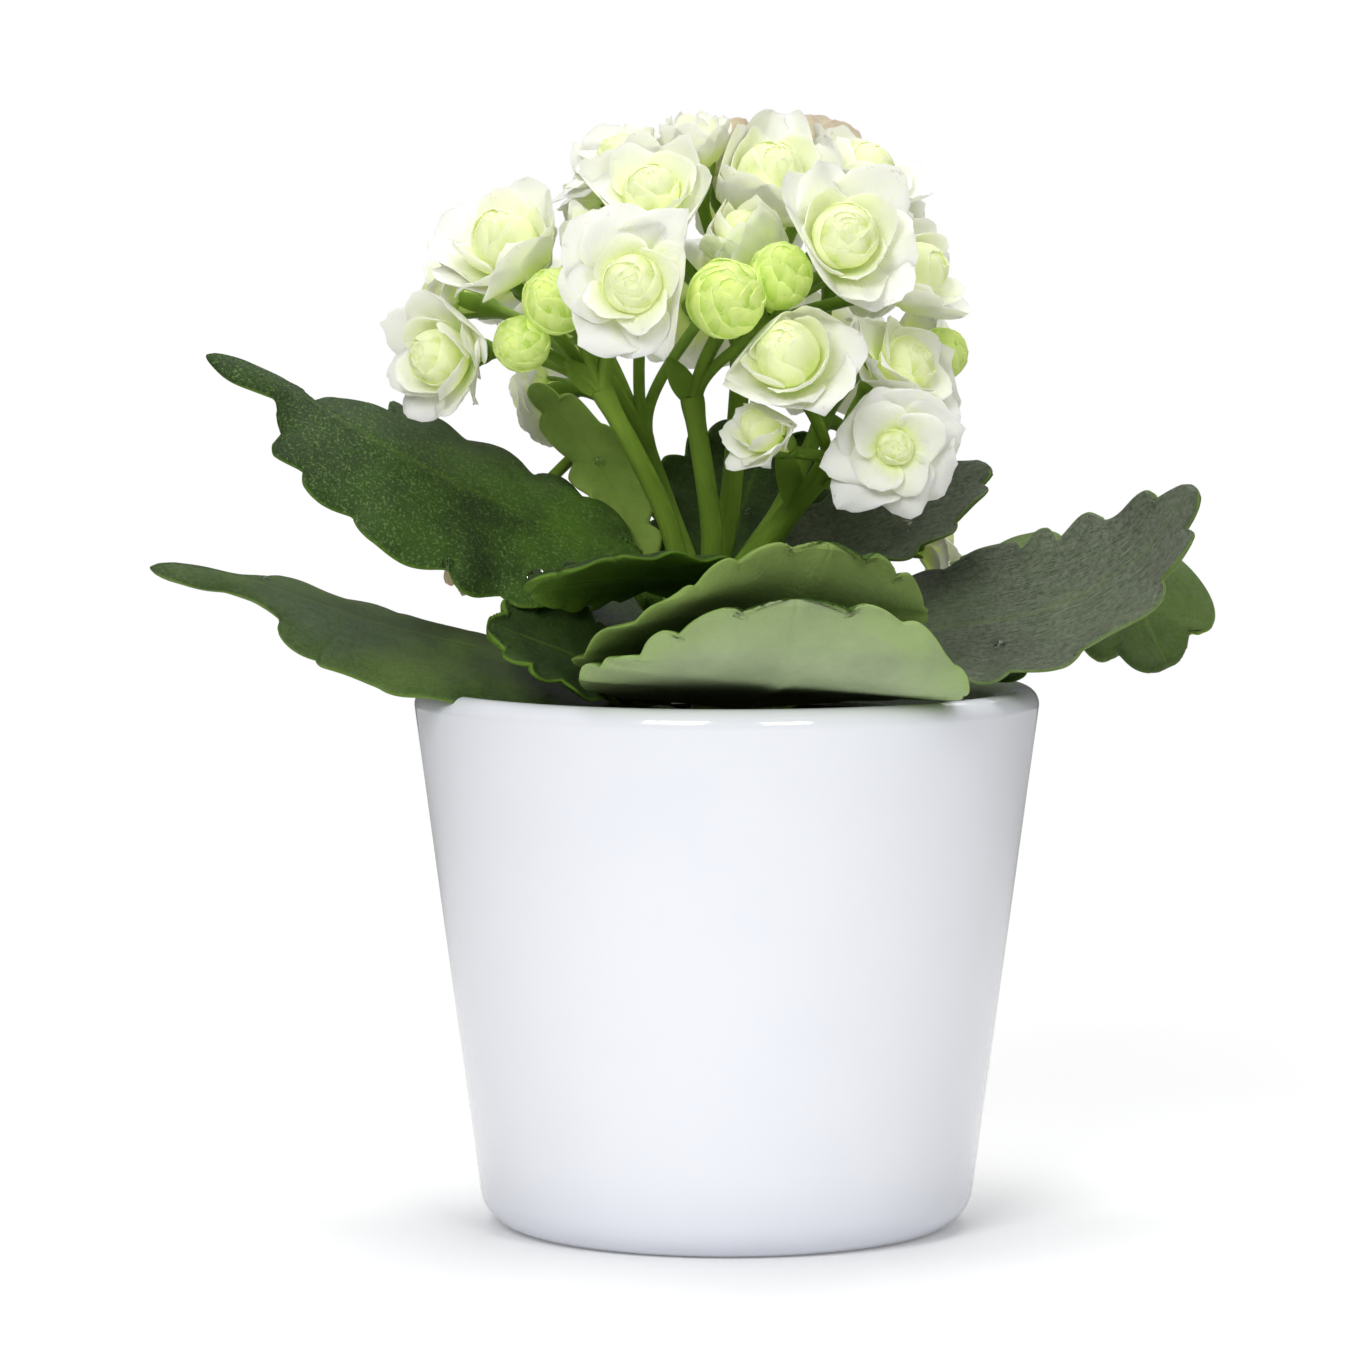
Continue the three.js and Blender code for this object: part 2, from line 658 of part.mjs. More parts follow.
function leafGeometry(leaf) {
  const { from, path, faces, cup, teeth } = leaf;
  const axis = new THREE.Vector3(mainStem.x, mainStem.y, from);
  const firstPoint = vec(path[0]);
  const outward = new THREE.Vector3(firstPoint.x - axis.x, firstPoint.y - axis.y, 0).normalize();
  const { radius, crownRadius, crownBase, crownFlare } = mainStem;
  const widening = THREE.MathUtils.clamp((from - crownBase) / crownFlare + 1, 0, 1);
  const foot = axis.addScaledVector(outward, mix(radius, crownRadius, widening) + 2 * gap);
  const curve = new THREE.CatmullRomCurve3([foot, ...path.map(vec)], false, "centripetal");
  const across = [-1, -0.55, 0, 0.55, 1];
  const stations = leafStations(teeth);
  const grid = stations.map((u) => {
    const centre = curve.getPointAt(u);
    const along = curve.getTangentAt(u);
    const upper = alongList(faces, u);
    const side = along.clone().cross(upper).normalize();
    const normal = side.clone().cross(along).normalize();
    const half = leafHalfWidth(u, leaf);
    const blade = THREE.MathUtils.smoothstep(u, 0.1, 0.4);
    return across.map((v) => {
      const bend = cup * blade * Math.abs(v);
      return centre
        .clone()
        .addScaledVector(side, half * v * Math.cos(bend))
        .addScaledVector(normal, half * Math.abs(v) * Math.sin(bend));
    });
  });
  return bladeGeometry(grid, (i, j) => {
    const middle = across[j] === 0 ? 1 : 0.7;
    const fleshy = mix(1.35, 1, THREE.MathUtils.smoothstep(stations[i], 0, 0.3));
    return leafThickness * middle * fleshy;
  });
}

// ---- Blooms

// Turns a bloom's own frame, petals opening along +Z, to where it sits
function bloomMatrix({ at, faces }, turn) {
  const forward = directionOf(faces);
  const sideways = new THREE.Vector3(0, 0, 1).cross(forward).normalize();
  const upward = forward.clone().cross(sideways);
  return new THREE.Matrix4()
    .makeBasis(sideways, upward, forward)
    .setPosition(...at)
    .multiply(new THREE.Matrix4().makeRotationZ(turn));
}

// Where neighbouring heads crowd, petals stop short of the plane midway between them, or of
// the skin of a bud, and stand up instead
const heads = Object.entries(blooms).map(([name, { at, faces, radius, kind }]) => {
  const firm = kind === "bud";
  const axis = directionOf(faces);
  const centre = vec(at).addScaledVector(axis, firm ? 0 : headCentre * radius);
  return { name, radius, firm, axis, centre };
});

function roomShare(self, other, apart) {
  const { radius, firm } = self;
  if (firm && !other.firm) return radius;
  const share = firm === other.firm ? (apart * radius) / (radius + other.radius) : apart - other.radius;
  return share - petalClearance / 2 - (firm ? 0 : petalThickness / 2);
}

function bentClear(point, name) {
  const self = heads.find((head) => head.name === name);
  const soft = self.firm ? budSoftness : petalSoftness;
  for (const lift of [crowdLift, 0, 0, 0]) {
    for (const other of heads) {
      if (other === self) continue;
      const towards = other.centre.clone().sub(self.centre);
      const apart = towards.length();
      if (apart > self.radius + other.radius + crowdReach) continue;
      towards.normalize();
      const room = roomShare(self, other, apart) - point.clone().sub(self.centre).dot(towards);
      if (room >= soft) continue;
      const push = soft * Math.exp(room / soft - 1) - room;
      const upright = self.axis.clone().addScaledVector(towards, -self.axis.dot(towards));
      point.addScaledVector(towards, -push).addScaledVector(upright, lift * push);
    }
  }
  return point;
}

// One ring of a bloom's skin, through every lobe's notch, shoulders and tip. The inner ring's
// tips stand over the outer one's notches, and its points are listed beside the outer one's.
function lobedRing({ tip, notch, inner = false, ruffle = 0, random }) {
  const ring = [];
  const side = ruffle > 0 ? [shoulder * tip[0], tip[1]] : tip;
  const lap = ruffle > 0 ? petalLap : 0;
  const turn = inner ? lobeSpan / 2 : 0;
  for (let lobe = 0; lobe < lobes; lobe++) {
    [notch, side, tip, side].forEach(([distance, height], k) => {
      const angle = radians(lobe * lobeSpan + lobePoints[k] + turn);
      const out = distance * (1 + ruffle * (random() - 0.5));
      const up = height + [0, lap, 0, -lap][k] + ruffle * (random() - 0.5);
      ring.push(new THREE.Vector3(out * Math.cos(angle), out * Math.sin(angle), up));
    });
  }
  return inner ? [...ring.slice(-2), ...ring.slice(0, -2)] : ring;
}

// Closes a stack of rings, all with as many points, between two points on the axis. After the
// rings named as tips the triangles lean the other way, so that a petal's two faces are split
// alike.
function ringedGeometry(first, rings, last, tips = []) {
  const sides = rings[0].length;
  const points = [first, ...rings.flat(), last];
  const index = [];
  for (let k = 0; k < sides; k++) {
    const next = (k + 1) % sides;
    index.push(0, 1 + next, 1 + k);
    for (let r = 0; r + 1 < rings.length; r++) {
      const [a, b] = [1 + r * sides + k, 1 + r * sides + next];
      const [c, d] = [b + sides, a + sides];
      index.push(...(tips.includes(rings[r]) ? [a, b, d, b, c, d] : [a, b, c, a, c, d]));
    }
    const lastRing = 1 + (rings.length - 1) * sides;
    index.push(lastRing + k, lastRing + next, points.length - 1);
  }
  const geometry = new THREE.BufferGeometry();
  geometry.setAttribute(
    "position",
    new THREE.Float32BufferAttribute(points.flatMap((p) => p.toArray()), 3),
  );
  geometry.setIndex(index);
  return geometry;
}

// The way to the heart from the petals that run from a ring to their tips, at each of its points
function inwardNormals(ring, tips) {
  const count = ring.length;
  return ring.map((point, k) => {
    const along = tips[k].clone().sub(point);
    const across = ring[(k + 1) % count].clone().sub(ring[(k + count - 1) % count]);
    return along.cross(across).normalize();
  });
}

function liftedRing(ring, tips, distance) {
  const normals = inwardNormals(ring, tips);
  return ring.map((point, k) => point.clone().addScaledVector(normals[k], distance));
}

// Moves points that crowding has pressed onto the petals outside them back towards the heart
function keptInside(points, ring, tips, distance) {
  const normals = inwardNormals(ring, tips);
  return points.map((point, k) => {
    const depth = point.clone().sub(ring[k]).dot(normals[k]);
    return point.clone().addScaledVector(normals[k], Math.max(0, distance - depth));
  });
}

function bloomGeometry(name, { at, faces, radius, kind }, seed) {
  const random = seeded(seed);
  const matrix = bloomMatrix({ at, faces }, random() * 2 * Math.PI);
  const { outer, inner, heart } = corollas[kind];
  const [girth, top] = heart;
  const tube = tubeRadius / radius;
  const half = petalThickness / 2;
  const place = (point) => bentClear(point.multiplyScalar(radius).applyMatrix4(matrix), name);
  const ring = (shape) => lobedRing({ notch: shape.tip, random, ...shape }).map(place);
  const outerBend = ring({ tip: outer.bend });
  const outerTips = ring({ ...outer, ruffle: petalRuffle });
  const insideOuter = (points) => keptInside(points, outerBend, outerTips, half + layerGap);
  const footHeight = outer.bend[1] + footStep[1];
  const innerFoot = insideOuter(ring({ tip: [girth + footStep[0], footHeight], inner: true }));
  const innerTips = insideOuter(ring({ ...inner, inner: true, ruffle: petalRuffle }));
  const innerBend = innerFoot.map((point, k) => point.clone().lerp(innerTips[k], innerBendShare));
  const innerFaces = liftedRing(innerBend, innerTips, petalThickness);
  const middle = meanOf(innerFaces);
  const heartHeight = (top - mix(footHeight, inner.tip[1], innerBendShare)) * radius;
  const heartPoint = (point, taper, rise) =>
    point.clone().lerp(middle, taper).addScaledVector(directionOf(faces), rise * heartHeight);
  const rings = [
    ring({ tip: [tube, -tubeLength] }),
    ring({ tip: [throat[0] * tube, throat[1]] }),
    liftedRing(outerBend, outerTips, -half),
    outerTips,
    liftedRing(outerBend, outerTips, half),
    innerFoot,
    innerTips,
    innerFaces,
    innerFaces.map((point) => heartPoint(point, heartTaper, heartRise)),
  ];
  const foot = place(new THREE.Vector3(0, 0, -tubeLength));
  return ringedGeometry(foot, rings, heartPoint(middle, 0, 1), [outerTips, innerTips]);
}

// A closed bud: a globe in relief, its folded petals lapping in staggered rows
function budGeometry(name, bud, seed) {
  const { rows, petals, pointsPerPetal, relief, girth, from, to } = budShape;
  const sides = petals * pointsPerPetal;
  const matrix = bloomMatrix(bud, seeded(seed)() * 2 * Math.PI);
  const place = (point) => bentClear(point.multiplyScalar(bud.radius).applyMatrix4(matrix), name);
  const ringAt = (distance, height, row, depth) =>
    Array.from({ length: sides }, (_, k) => {
      const turn = (2 * Math.PI * k) / sides;
      const lap = 1 + depth * Math.cos(petals * turn + (row % 2) * Math.PI);
      const [x, y] = [distance * lap * Math.cos(turn), distance * lap * Math.sin(turn)];
      return place(new THREE.Vector3(x, y, height));
    });
  const rings = [ringAt(tubeRadius / bud.radius, -budLength, 0, 0)];
  for (let row = 0; row < rows; row++) {
    const angle = radians(mix(from, to, row / (rows - 1)));
    rings.push(ringAt(girth * Math.cos(angle), Math.sin(angle), row, relief));
  }
  const foot = place(new THREE.Vector3(0, 0, -budLength));
  return ringedGeometry(foot, rings, place(new THREE.Vector3(0, 0, 1)));
}

// ---- Flower stalks: a peduncle from the crown, and a footstalk to each of its flowers

function flowerFoot(bloom) {
  const depth = bloom.kind === "bud" ? budLength : tubeLength;
  const facing = directionOf(bloom.faces);
  return vec(bloom.at).addScaledVector(facing, -depth * bloom.radius - gap);
}

function nearestStalk(point) {
  const distance = ([, stalk]) => vec(stalk.fork).distanceTo(point);
  return Object.entries(stalks).reduce((a, b) => (distance(b) < distance(a) ? b : a))[0];
}

function stalkGeometry(name, { foot, via, fork, thick }) {
  const start = new THREE.Vector3(
    mainStem.x + foot[0],
    mainStem.y + foot[1],
    mainStem.crownTop + gap,
  );
  const rise = start.clone().add(new THREE.Vector3(0, 0, stalkRise));
  const line = new THREE.CatmullRomCurve3([start, rise, vec(via), vec(fork)]);
  const girthAt = (t) => thick * mix(1, stalkTaper, t);
  const pieces = [stemGeometry(line, girthAt, stalkSections, stalkSides)];
  const upwards = vec(fork).sub(vec(via)).normalize();
  for (const bloom of Object.values(blooms)) {
    const onThisStalk = nearestStalk(flowerFoot(bloom)) === name;
    if (onThisStalk) pieces.push(footstalkGeometry(vec(fork), upwards, bloom));
  }
  pieces.push(...bracts.filter((bract) => bract.on === name).map(bractGeometry));
  return geometryOf(wholeBody(joined(pieces.map(solidOf))));
}

function footstalkGeometry(fork, upwards, bloom) {
  const { sides, sections, bloomGirth, budGirth, rootDepth, ease, lean } = footstalk;
  const { calyx, calyxRim } = footstalk;
  const end = flowerFoot(bloom);
  const reach = end.distanceTo(fork);
  const leaving = end.clone().sub(fork).setLength(reach * lean).addScaledVector(upwards, reach);
  const line = new THREE.CubicBezierCurve3(
    fork.clone().addScaledVector(upwards, -rootDepth),
    fork.clone().add(leaving.setLength(ease * reach)),
    end.clone().addScaledVector(directionOf(bloom.faces), -ease * reach),
    end,
  );
  const slim = bloom.kind === "bud" ? budGirth : bloomGirth;
  const widening = (t) => Math.max(0, (t - calyx) / (1 - calyx));
  const girthAt = (t) => mix(slim, tubeRadius + calyxRim, widening(t));
  return stemGeometry(line, girthAt, sections, sides);
}

function bractGeometry({ root, tip, width }) {
  const along = vec(tip).sub(vec(root));
  const side = along.clone().cross(new THREE.Vector3(0, 1, 0)).setLength(width / 2);
  const grid = bractOutline.map(([share, breadth]) => {
    const middle = vec(root).addScaledVector(along, share);
    return [-1, 0, 1].map((v) => middle.clone().addScaledVector(side, v * breadth));
  });
  return bladeGeometry(grid, () => bractThickness);
}

// ---- The whole plant in its pot

const plant = new THREE.Group();

function add(name, geometry, finish) {
  const material = new THREE.MeshStandardMaterial(finishes[finish]);
  const mesh = new THREE.Mesh(geometry, material);
  mesh.name = name;
  plant.add(mesh);
}

add("cover_pot", coverPotGeometry(), "ceramic");
add("nursery_pot", nurseryPotGeometry(), "plastic");
add("potting_soil", soilGeometry(), "soil");
add("main_stem", mainStemGeometry(), "stem");
for (const [name, leaf] of Object.entries(leaves)) {
  add(name, leafGeometry(leaf), "leaf");
}
for (const [name, stalk] of Object.entries(stalks)) {
  add(name, stalkGeometry(name, stalk), "stem");
}
Object.entries(blooms).forEach(([name, bloom], i) => {
  if (bloom.kind === "bud") add(name, budGeometry(name, bloom, 100 + i), "bud");
  else add(name, bloomGeometry(name, bloom, 100 + i), "petal");
});

export default plant;
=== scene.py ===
# Potted kalanchoe with double white flowers, dressed for a studio portrait.
# The dictionaries are in millimetres, in the part's own frame: +Z up, the front towards -Y.

import math
import random

import bpy
import numpy as np
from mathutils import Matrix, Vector


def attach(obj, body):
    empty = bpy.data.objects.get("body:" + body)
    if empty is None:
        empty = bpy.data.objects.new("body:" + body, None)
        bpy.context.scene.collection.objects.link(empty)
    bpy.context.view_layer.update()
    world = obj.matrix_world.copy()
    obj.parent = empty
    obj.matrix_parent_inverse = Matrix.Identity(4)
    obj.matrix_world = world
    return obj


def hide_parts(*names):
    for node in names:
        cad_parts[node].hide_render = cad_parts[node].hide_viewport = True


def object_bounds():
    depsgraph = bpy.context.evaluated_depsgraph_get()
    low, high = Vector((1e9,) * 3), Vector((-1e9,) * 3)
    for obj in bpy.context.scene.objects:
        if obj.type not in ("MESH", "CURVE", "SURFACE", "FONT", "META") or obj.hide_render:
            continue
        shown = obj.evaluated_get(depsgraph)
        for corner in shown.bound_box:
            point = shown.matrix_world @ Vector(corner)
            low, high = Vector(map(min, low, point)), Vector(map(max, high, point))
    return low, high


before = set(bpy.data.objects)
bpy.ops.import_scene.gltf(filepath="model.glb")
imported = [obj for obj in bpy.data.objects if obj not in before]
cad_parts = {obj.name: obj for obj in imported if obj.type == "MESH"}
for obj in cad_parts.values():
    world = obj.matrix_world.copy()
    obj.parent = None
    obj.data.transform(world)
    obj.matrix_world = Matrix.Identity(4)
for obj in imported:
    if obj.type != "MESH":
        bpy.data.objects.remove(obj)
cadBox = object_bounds()
metresPerMillimetre = 0.001


# Small sums

def unit(vectors):
    vectors = np.asarray(vectors, float)
    length = np.linalg.norm(vectors, axis=-1, keepdims=True)
    return vectors / np.maximum(length, 1e-9)


def mix(a, b, share):
    return a + (b - a) * share


def ease(value, low, high):
    share = np.clip((value - low) / (high - low), 0, 1)
    return share * share * (3 - 2 * share)


def heading(azimuth, elevation):
    a = math.radians(azimuth)
    e = math.radians(elevation)
    return np.array([math.cos(a) * math.cos(e), math.sin(a) * math.cos(e), math.sin(e)])


def screenColour(red, green, blue):  # a colour as it looks on the screen, 0 to 255
    shares = [c / 255 for c in (red, green, blue)]
    linear = [c / 12.92 if c < 0.04045 else ((c + 0.055) / 1.055) ** 2.4 for c in shares]
    return (*linear, 1)


def around(sides):  # the turns of evenly spaced points on a circle
    return np.arange(sides) * 2 * math.pi / sides


def circle(turns, radius, height, at=(0, 0)):  # a level ring of points
    return np.stack([at[0] + radius * np.cos(turns), at[1] + radius * np.sin(turns), height + 0 * turns], -1)


def joined(*parts):  # arrays of matching shape as the coordinates of points
    return np.stack(np.broadcast_arrays(*parts), -1)


def between(values, shares):  # the points at shares of the way through a list of evenly spaced ones
    values = np.array(values, float)
    steps = np.linspace(0, 1, len(values))
    return joined(*[np.interp(shares, steps, column) for column in values.T])


# A smooth line through points, and its places and headings at shares of its length

def lineThrough(points, stepsPerSpan=60):
    points = np.array(points, float)
    ends = [2 * points[0] - points[1], *points, 2 * points[-1] - points[-2]]
    samples = [points[0]]
    for p0, p1, p2, p3 in zip(ends, ends[1:], ends[2:], ends[3:]):
        d0, d1, d2 = [math.sqrt(np.linalg.norm(b - a)) for a, b in ((p0, p1), (p1, p2), (p2, p3))]
        leave = ((p1 - p0) / d0 - (p2 - p0) / (d0 + d1)) * d1 + p2 - p1
        arrive = p2 - p1 + ((p3 - p2) / d2 - (p3 - p1) / (d1 + d2)) * d1
        for t in np.linspace(0, 1, stepsPerSpan + 1)[1:]:
            curve = p1 + leave * t
            curve = curve + (3 * (p2 - p1) - 2 * leave - arrive) * t * t
            samples.append(curve + (2 * (p1 - p2) + leave + arrive) * t ** 3)
    return np.array(samples)


def bezierLine(a, b, c, d, steps=60):
    t = np.linspace(0, 1, steps + 1)[:, None]
    return a * (1 - t) ** 3 + 3 * b * t * (1 - t) ** 2 + 3 * c * t * t * (1 - t) + d * t ** 3


def placesAlong(line, shares):
    length = np.concatenate([[0], np.cumsum(np.linalg.norm(np.diff(line, axis=0), axis=1))])
    at = np.asarray(shares) * length[-1]
    slopes = unit(np.gradient(line, axis=0))
    places, headings = [joined(*[np.interp(at, length, c) for c in way.T]) for way in (line, slopes)]
    return places, unit(headings)


# Shader sums: a socket that can stand in an expression

class Wire:
    def __init__(self, tree, socket=None):
        self.tree = tree
        self.socket = socket

    def node(self, kind, settings=None, sockets=None, output=0):
        made = self.tree.nodes.new(kind)
        for key, value in (settings or {}).items():
            if key == "stops":
                fillRamp(made.color_ramp, value)
            else:
                setattr(made, key, value)
        for key, value in (sockets or {}).items():
            if isinstance(value, Wire):
                self.tree.links.new(value.socket, made.inputs[key])
            else:
                made.inputs[key].default_value = value
        return Wire(self.tree, made.outputs[output] if len(made.outputs) else None)

    def math(self, operation, *values):
        return self.node("ShaderNodeMath", {"operation": operation}, dict(enumerate(values)))

    def __add__(self, other):
        return self.math("ADD", self, other)

    __radd__ = __add__

    def __sub__(self, other):
        return self.math("SUBTRACT", self, other)

    def __rsub__(self, other):
        return self.math("SUBTRACT", other, self)

    def __mul__(self, other):
        return self.math("MULTIPLY", self, other)

    __rmul__ = __mul__

    def __pow__(self, other):
        return self.math("POWER", self, other)

    def __abs__(self):
        return self.math("ABSOLUTE", self)

    def clamp(self):
        return self.node("ShaderNodeClamp", {}, {0: self})

    def ramp(self, low, high):  # eased from 0 at low to 1 at high
        sockets = {"Value": self, "From Min": low, "From Max": high}
        return self.node("ShaderNodeMapRange", {"interpolation_type": "SMOOTHSTEP"}, sockets)

    def colours(self, first, second):  # wires, or colours as they look on the screen
        first, second = [c if isinstance(c, Wire) else screenColour(*c) for c in (first, second)]
        return self.node("ShaderNodeMix", {"data_type": "RGBA"}, {0: self, 6: first, 7: second}, 2)

    def noise(self, place, scale, detail=3, roughness=0.5):
        sockets = {"Vector": place, "Scale": scale, "Detail": detail, "Roughness": roughness}
        return self.node("ShaderNodeTexNoise", {}, sockets)

    def vector(self, x, y, z):
        return self.node("ShaderNodeCombineXYZ", {}, {0: x, 1: y, 2: z})

    def bump(self, height, distance, strength=1.0):
        return self.node("ShaderNodeBump", {}, {"Height": height, "Distance": distance, "Strength": strength})

    def place(self):  # in metres, in the part's frame
        return self.node("ShaderNodeTexCoord", output=3)

    def tone(self):  # the three numbers that each point of a piece carries
        stored = self.node("ShaderNodeAttribute", {"attribute_name": "tone"}, output=1)
        return [self.node("ShaderNodeSeparateXYZ", {}, {0: stored}, k) for k in range(3)]

    def chance(self):
        return self.node("ShaderNodeAttribute", {"attribute_name": "chance"}, output=2)

    def surface(self, sockets):
        shader = self.node("ShaderNodeBsdfPrincipled", {}, sockets)
        self.node("ShaderNodeOutputMaterial", {}, {"Surface": shader})


def fillRamp(colourRamp, stops):
    while len(colourRamp.elements) < len(stops):
        colourRamp.elements.new(0.5)
    for element, (position, colour) in zip(colourRamp.elements, stops):
        element.position = position
        element.color = colour


def newMaterial(name):
    material = bpy.data.materials.new(name)
    material.use_nodes = True
    material.node_tree.nodes.clear()
    return material, Wire(material.node_tree)


# Meshes: closed surfaces gathered into one piece, each point with a tone and a chance number

sharpAngle = math.radians(48)


class Skin:
    def __init__(self):
        self.points = []
        self.tones = []
        self.chances = []
        self.faces = []
        self.count = 0

    def add(self, points, tones, faceSets, chance):
        points = np.asarray(points, float)
        for faces in faceSets:
            self.faces.extend((np.asarray(faces) + self.count).tolist())
        self.points.append(points)
        self.tones.append(np.broadcast_to(tones, points.shape))
        self.chances.append(np.full(len(points), chance))
        self.count += len(points)

    # A sheet with two faces that share its rim
    def blade(self, grid, thickness, upperTone, lowerTone, chance=0.5):
        rows, columns = grid.shape[:2]
        lift = bladeLift(grid, thickness)
        inner = np.zeros((rows, columns), bool)
        inner[1:-1, 1:-1] = True
        upper = np.arange(rows * columns).reshape(rows, columns)
        lower = upper.copy()
        lower[inner] = rows * columns + np.arange(inner.sum())
        raised = grid + lift * inner[..., None]
        points = np.vstack([raised.reshape(-1, 3), (grid - lift)[inner]])
        tones = np.vstack([upperTone.reshape(-1, 3), lowerTone[inner]])
        self.add(points, tones, [quads(upper), quads(lower)[:, ::-1]], chance)

    # A stack of rings, closed at both ends by a point
    def stack(self, first, rings, last, tones=(0, 0, 0), chance=0.5):
        rings = np.asarray(rings, float)
        count, sides = rings.shape[:2]
        points = np.vstack([[first], rings.reshape(-1, 3), [last]])
        index = 1 + np.arange(count * sides).reshape(count, sides)
        following = np.roll(index, -1, axis=1)
        sheet = np.stack([index[:-1], following[:-1], following[1:], index[1:]], -1).reshape(-1, 4)
        start = np.stack([np.zeros(sides, int), following[0], index[0]], -1)
        end = np.stack([index[-1], following[-1], np.full(sides, len(points) - 1)], -1)
        self.add(points, tones, [sheet, start, end], chance)

    def tube(self, places, headings, radii, sides, squareness=0.0):
        turns = around(sides)
        girth = 1 + squareness * np.cos(4 * turns)
        side = unit(np.cross(headings[0], [0.31, 0.93, 0.19]))
        rings = []
        for place, direction, radius in zip(places, headings, radii):
            side = unit(side - direction * np.dot(side, direction))
            rings.append(place + spokes(turns, side, np.cross(direction, side)) * (radius * girth)[:, None])
        self.stack(places[0], rings, places[-1], tubeTones(len(rings), sides))

    def piece(self, name, material, slot, *replaces):
        mesh = bpy.data.meshes.new(name)
        points = np.clip(np.vstack(self.points) * metresPerMillimetre, *cadBox)
        mesh.from_pydata(points.tolist(), [], self.faces)
        tone = mesh.attributes.new("tone", "FLOAT_VECTOR", "POINT")
        tone.data.foreach_set("vector", np.vstack(self.tones).astype(np.float32).ravel())
        chance = mesh.attributes.new("chance", "FLOAT", "POINT")
        chance.data.foreach_set("value", np.concatenate(self.chances).astype(np.float32))
        mesh.materials.append(material)
        mesh.polygons.foreach_set("use_smooth", [True] * len(mesh.polygons))
        mesh.update()
        mesh.set_sharp_from_angle(angle=sharpAngle)  # so that thin rims don't darken the faces
        made = bpy.data.objects.new(name, mesh)
        bpy.context.scene.collection.objects.link(made)
        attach(made, "root")
        if replaces:
            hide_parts(*replaces)
        return made


def quads(index):
    corners = [index[:-1, :-1], index[:-1, 1:], index[1:, 1:], index[1:, :-1]]
    return np.stack(corners, -1).reshape(-1, 4)


def spokes(turns, first, second):  # the directions of a circle's points
    return np.cos(turns)[:, None] * first + np.sin(turns)[:, None] * second


# Along and round a tube, from 0 to 1, for its streaks
def tubeTones(rings, sides):
    u = np.repeat(np.linspace(0, 1, rings), sides)
    v = np.tile(np.abs(np.linspace(-1, 1, sides)), rings)
    return np.vstack([[0, 0, 0], joined(u, v, 0 * u), [1, 0, 0]])


def bladeLift(grid, thickness):
    outward = np.cross(np.gradient(grid, axis=1), np.gradient(grid, axis=0))
    return unit(outward) * thickness[..., None] / 2


# Camera, floor and light

studio = {
    "cameraAt": (-5.6, -800, 131.5),
    "cameraDip": 4.41,  # degrees below the horizon
    "lens": 164.95,
    "floorHalf": 640,
    "floorTone": (245, 245, 245),
    "floorCloud": (243, 243, 244),
    "skyBehind": 1.0,  # what the camera sees above the floor
    "skyLight": 0.1,
    "floorGlow": (0.15, 1.02),  # near the pot and far out, where it meets the sky
    "floorFade": (0.13, 0.4),  # metres from the middle
    "glowCast": 0.4,  # the share of that glow which falls on the plant
    "boxesFace": (0, 0, 80),
    "boxes": {  # place, size, power in watts
        "topBox": ((0, 60, 1150), 800, 9.2),
        "keyBox": ((-330, -900, 620), 420, 5.7),
        "fillBox": ((360, -880, 520), 320, 2.3),
        "backBox": ((160, 620, 760), 600, 1.6),
    },
}


def floorMaterial():  # pale near the pot, and fading into a glow that meets the sky
    material, wire = newMaterial("paleFloor")
    tone = wire.noise(wire.place(), 3, 2).colours(studio["floorTone"], studio["floorCloud"])
    away = wire.node("ShaderNodeVectorMath", {"operation": "LENGTH"}, {0: wire.place()}, 1)
    far = away.ramp(*studio["floorFade"])
    near, outer = studio["floorGlow"]
    glow = far * (outer - near) + near
    seen = wire.node("ShaderNodeLightPath")
    cast = glow * (seen * (1 - studio["glowCast"]) + studio["glowCast"])
    wire.surface({
        "Base Color": far.colours(tone, (0, 0, 0)), "Roughness": 0.8, "Specular IOR Level": 0.1,
        "Emission Color": wire.vector(cast, cast, cast), "Emission Strength": 1.0,
    })
    return material


def setStudio():
    scene = bpy.context.scene
    scene.view_settings.view_transform = "Standard"
    lens = bpy.data.cameras.new("portraitCamera")
    lens.lens = studio["lens"]
    lens.clip_end = 50
    camera = bpy.data.objects.new("portraitCamera", lens)
    camera.location = Vector(studio["cameraAt"]) * metresPerMillimetre
    camera.rotation_euler = (math.radians(90 - studio["cameraDip"]), 0, 0)
    scene.collection.objects.link(camera)
    scene.camera = camera

    mesh = bpy.data.meshes.new("floor")
    corners = circle(np.radians([45, 135, 225, 315]), studio["floorHalf"] * math.sqrt(2), 0)
    mesh.from_pydata((corners * metresPerMillimetre).tolist(), [], [(0, 1, 2, 3)])
    mesh.materials.append(floorMaterial())
    floor = bpy.data.objects.new("floor", mesh)
    scene.collection.objects.link(floor)

    for name, (at, size, power) in studio["boxes"].items():
        light = bpy.data.lights.new(name, "AREA")
        light.size = size * metresPerMillimetre
        light.energy = power
        box = bpy.data.objects.new(name, light)
        box.location = Vector(at) * metresPerMillimetre
        towards = Vector(studio["boxesFace"]) - Vector(at)
        box.rotation_euler = towards.to_track_quat("-Z", "Y").to_euler()
        scene.collection.objects.link(box)

    world = bpy.data.worlds.new("studioSky")
    scene.world = world
    world.use_nodes = True
    world.node_tree.nodes.clear()
    sky = Wire(world.node_tree)
    seen = sky.node("ShaderNodeLightPath")
    strength = seen * studio["skyBehind"] + (1 - seen) * studio["skyLight"]
    glow = sky.node("ShaderNodeBackground", {}, {"Color": (1, 1, 1, 1), "Strength": strength})
    sky.node("ShaderNodeOutputWorld", {}, {"Surface": glow})


setStudio()
print("studio ready")


# Cover pot: white glaze

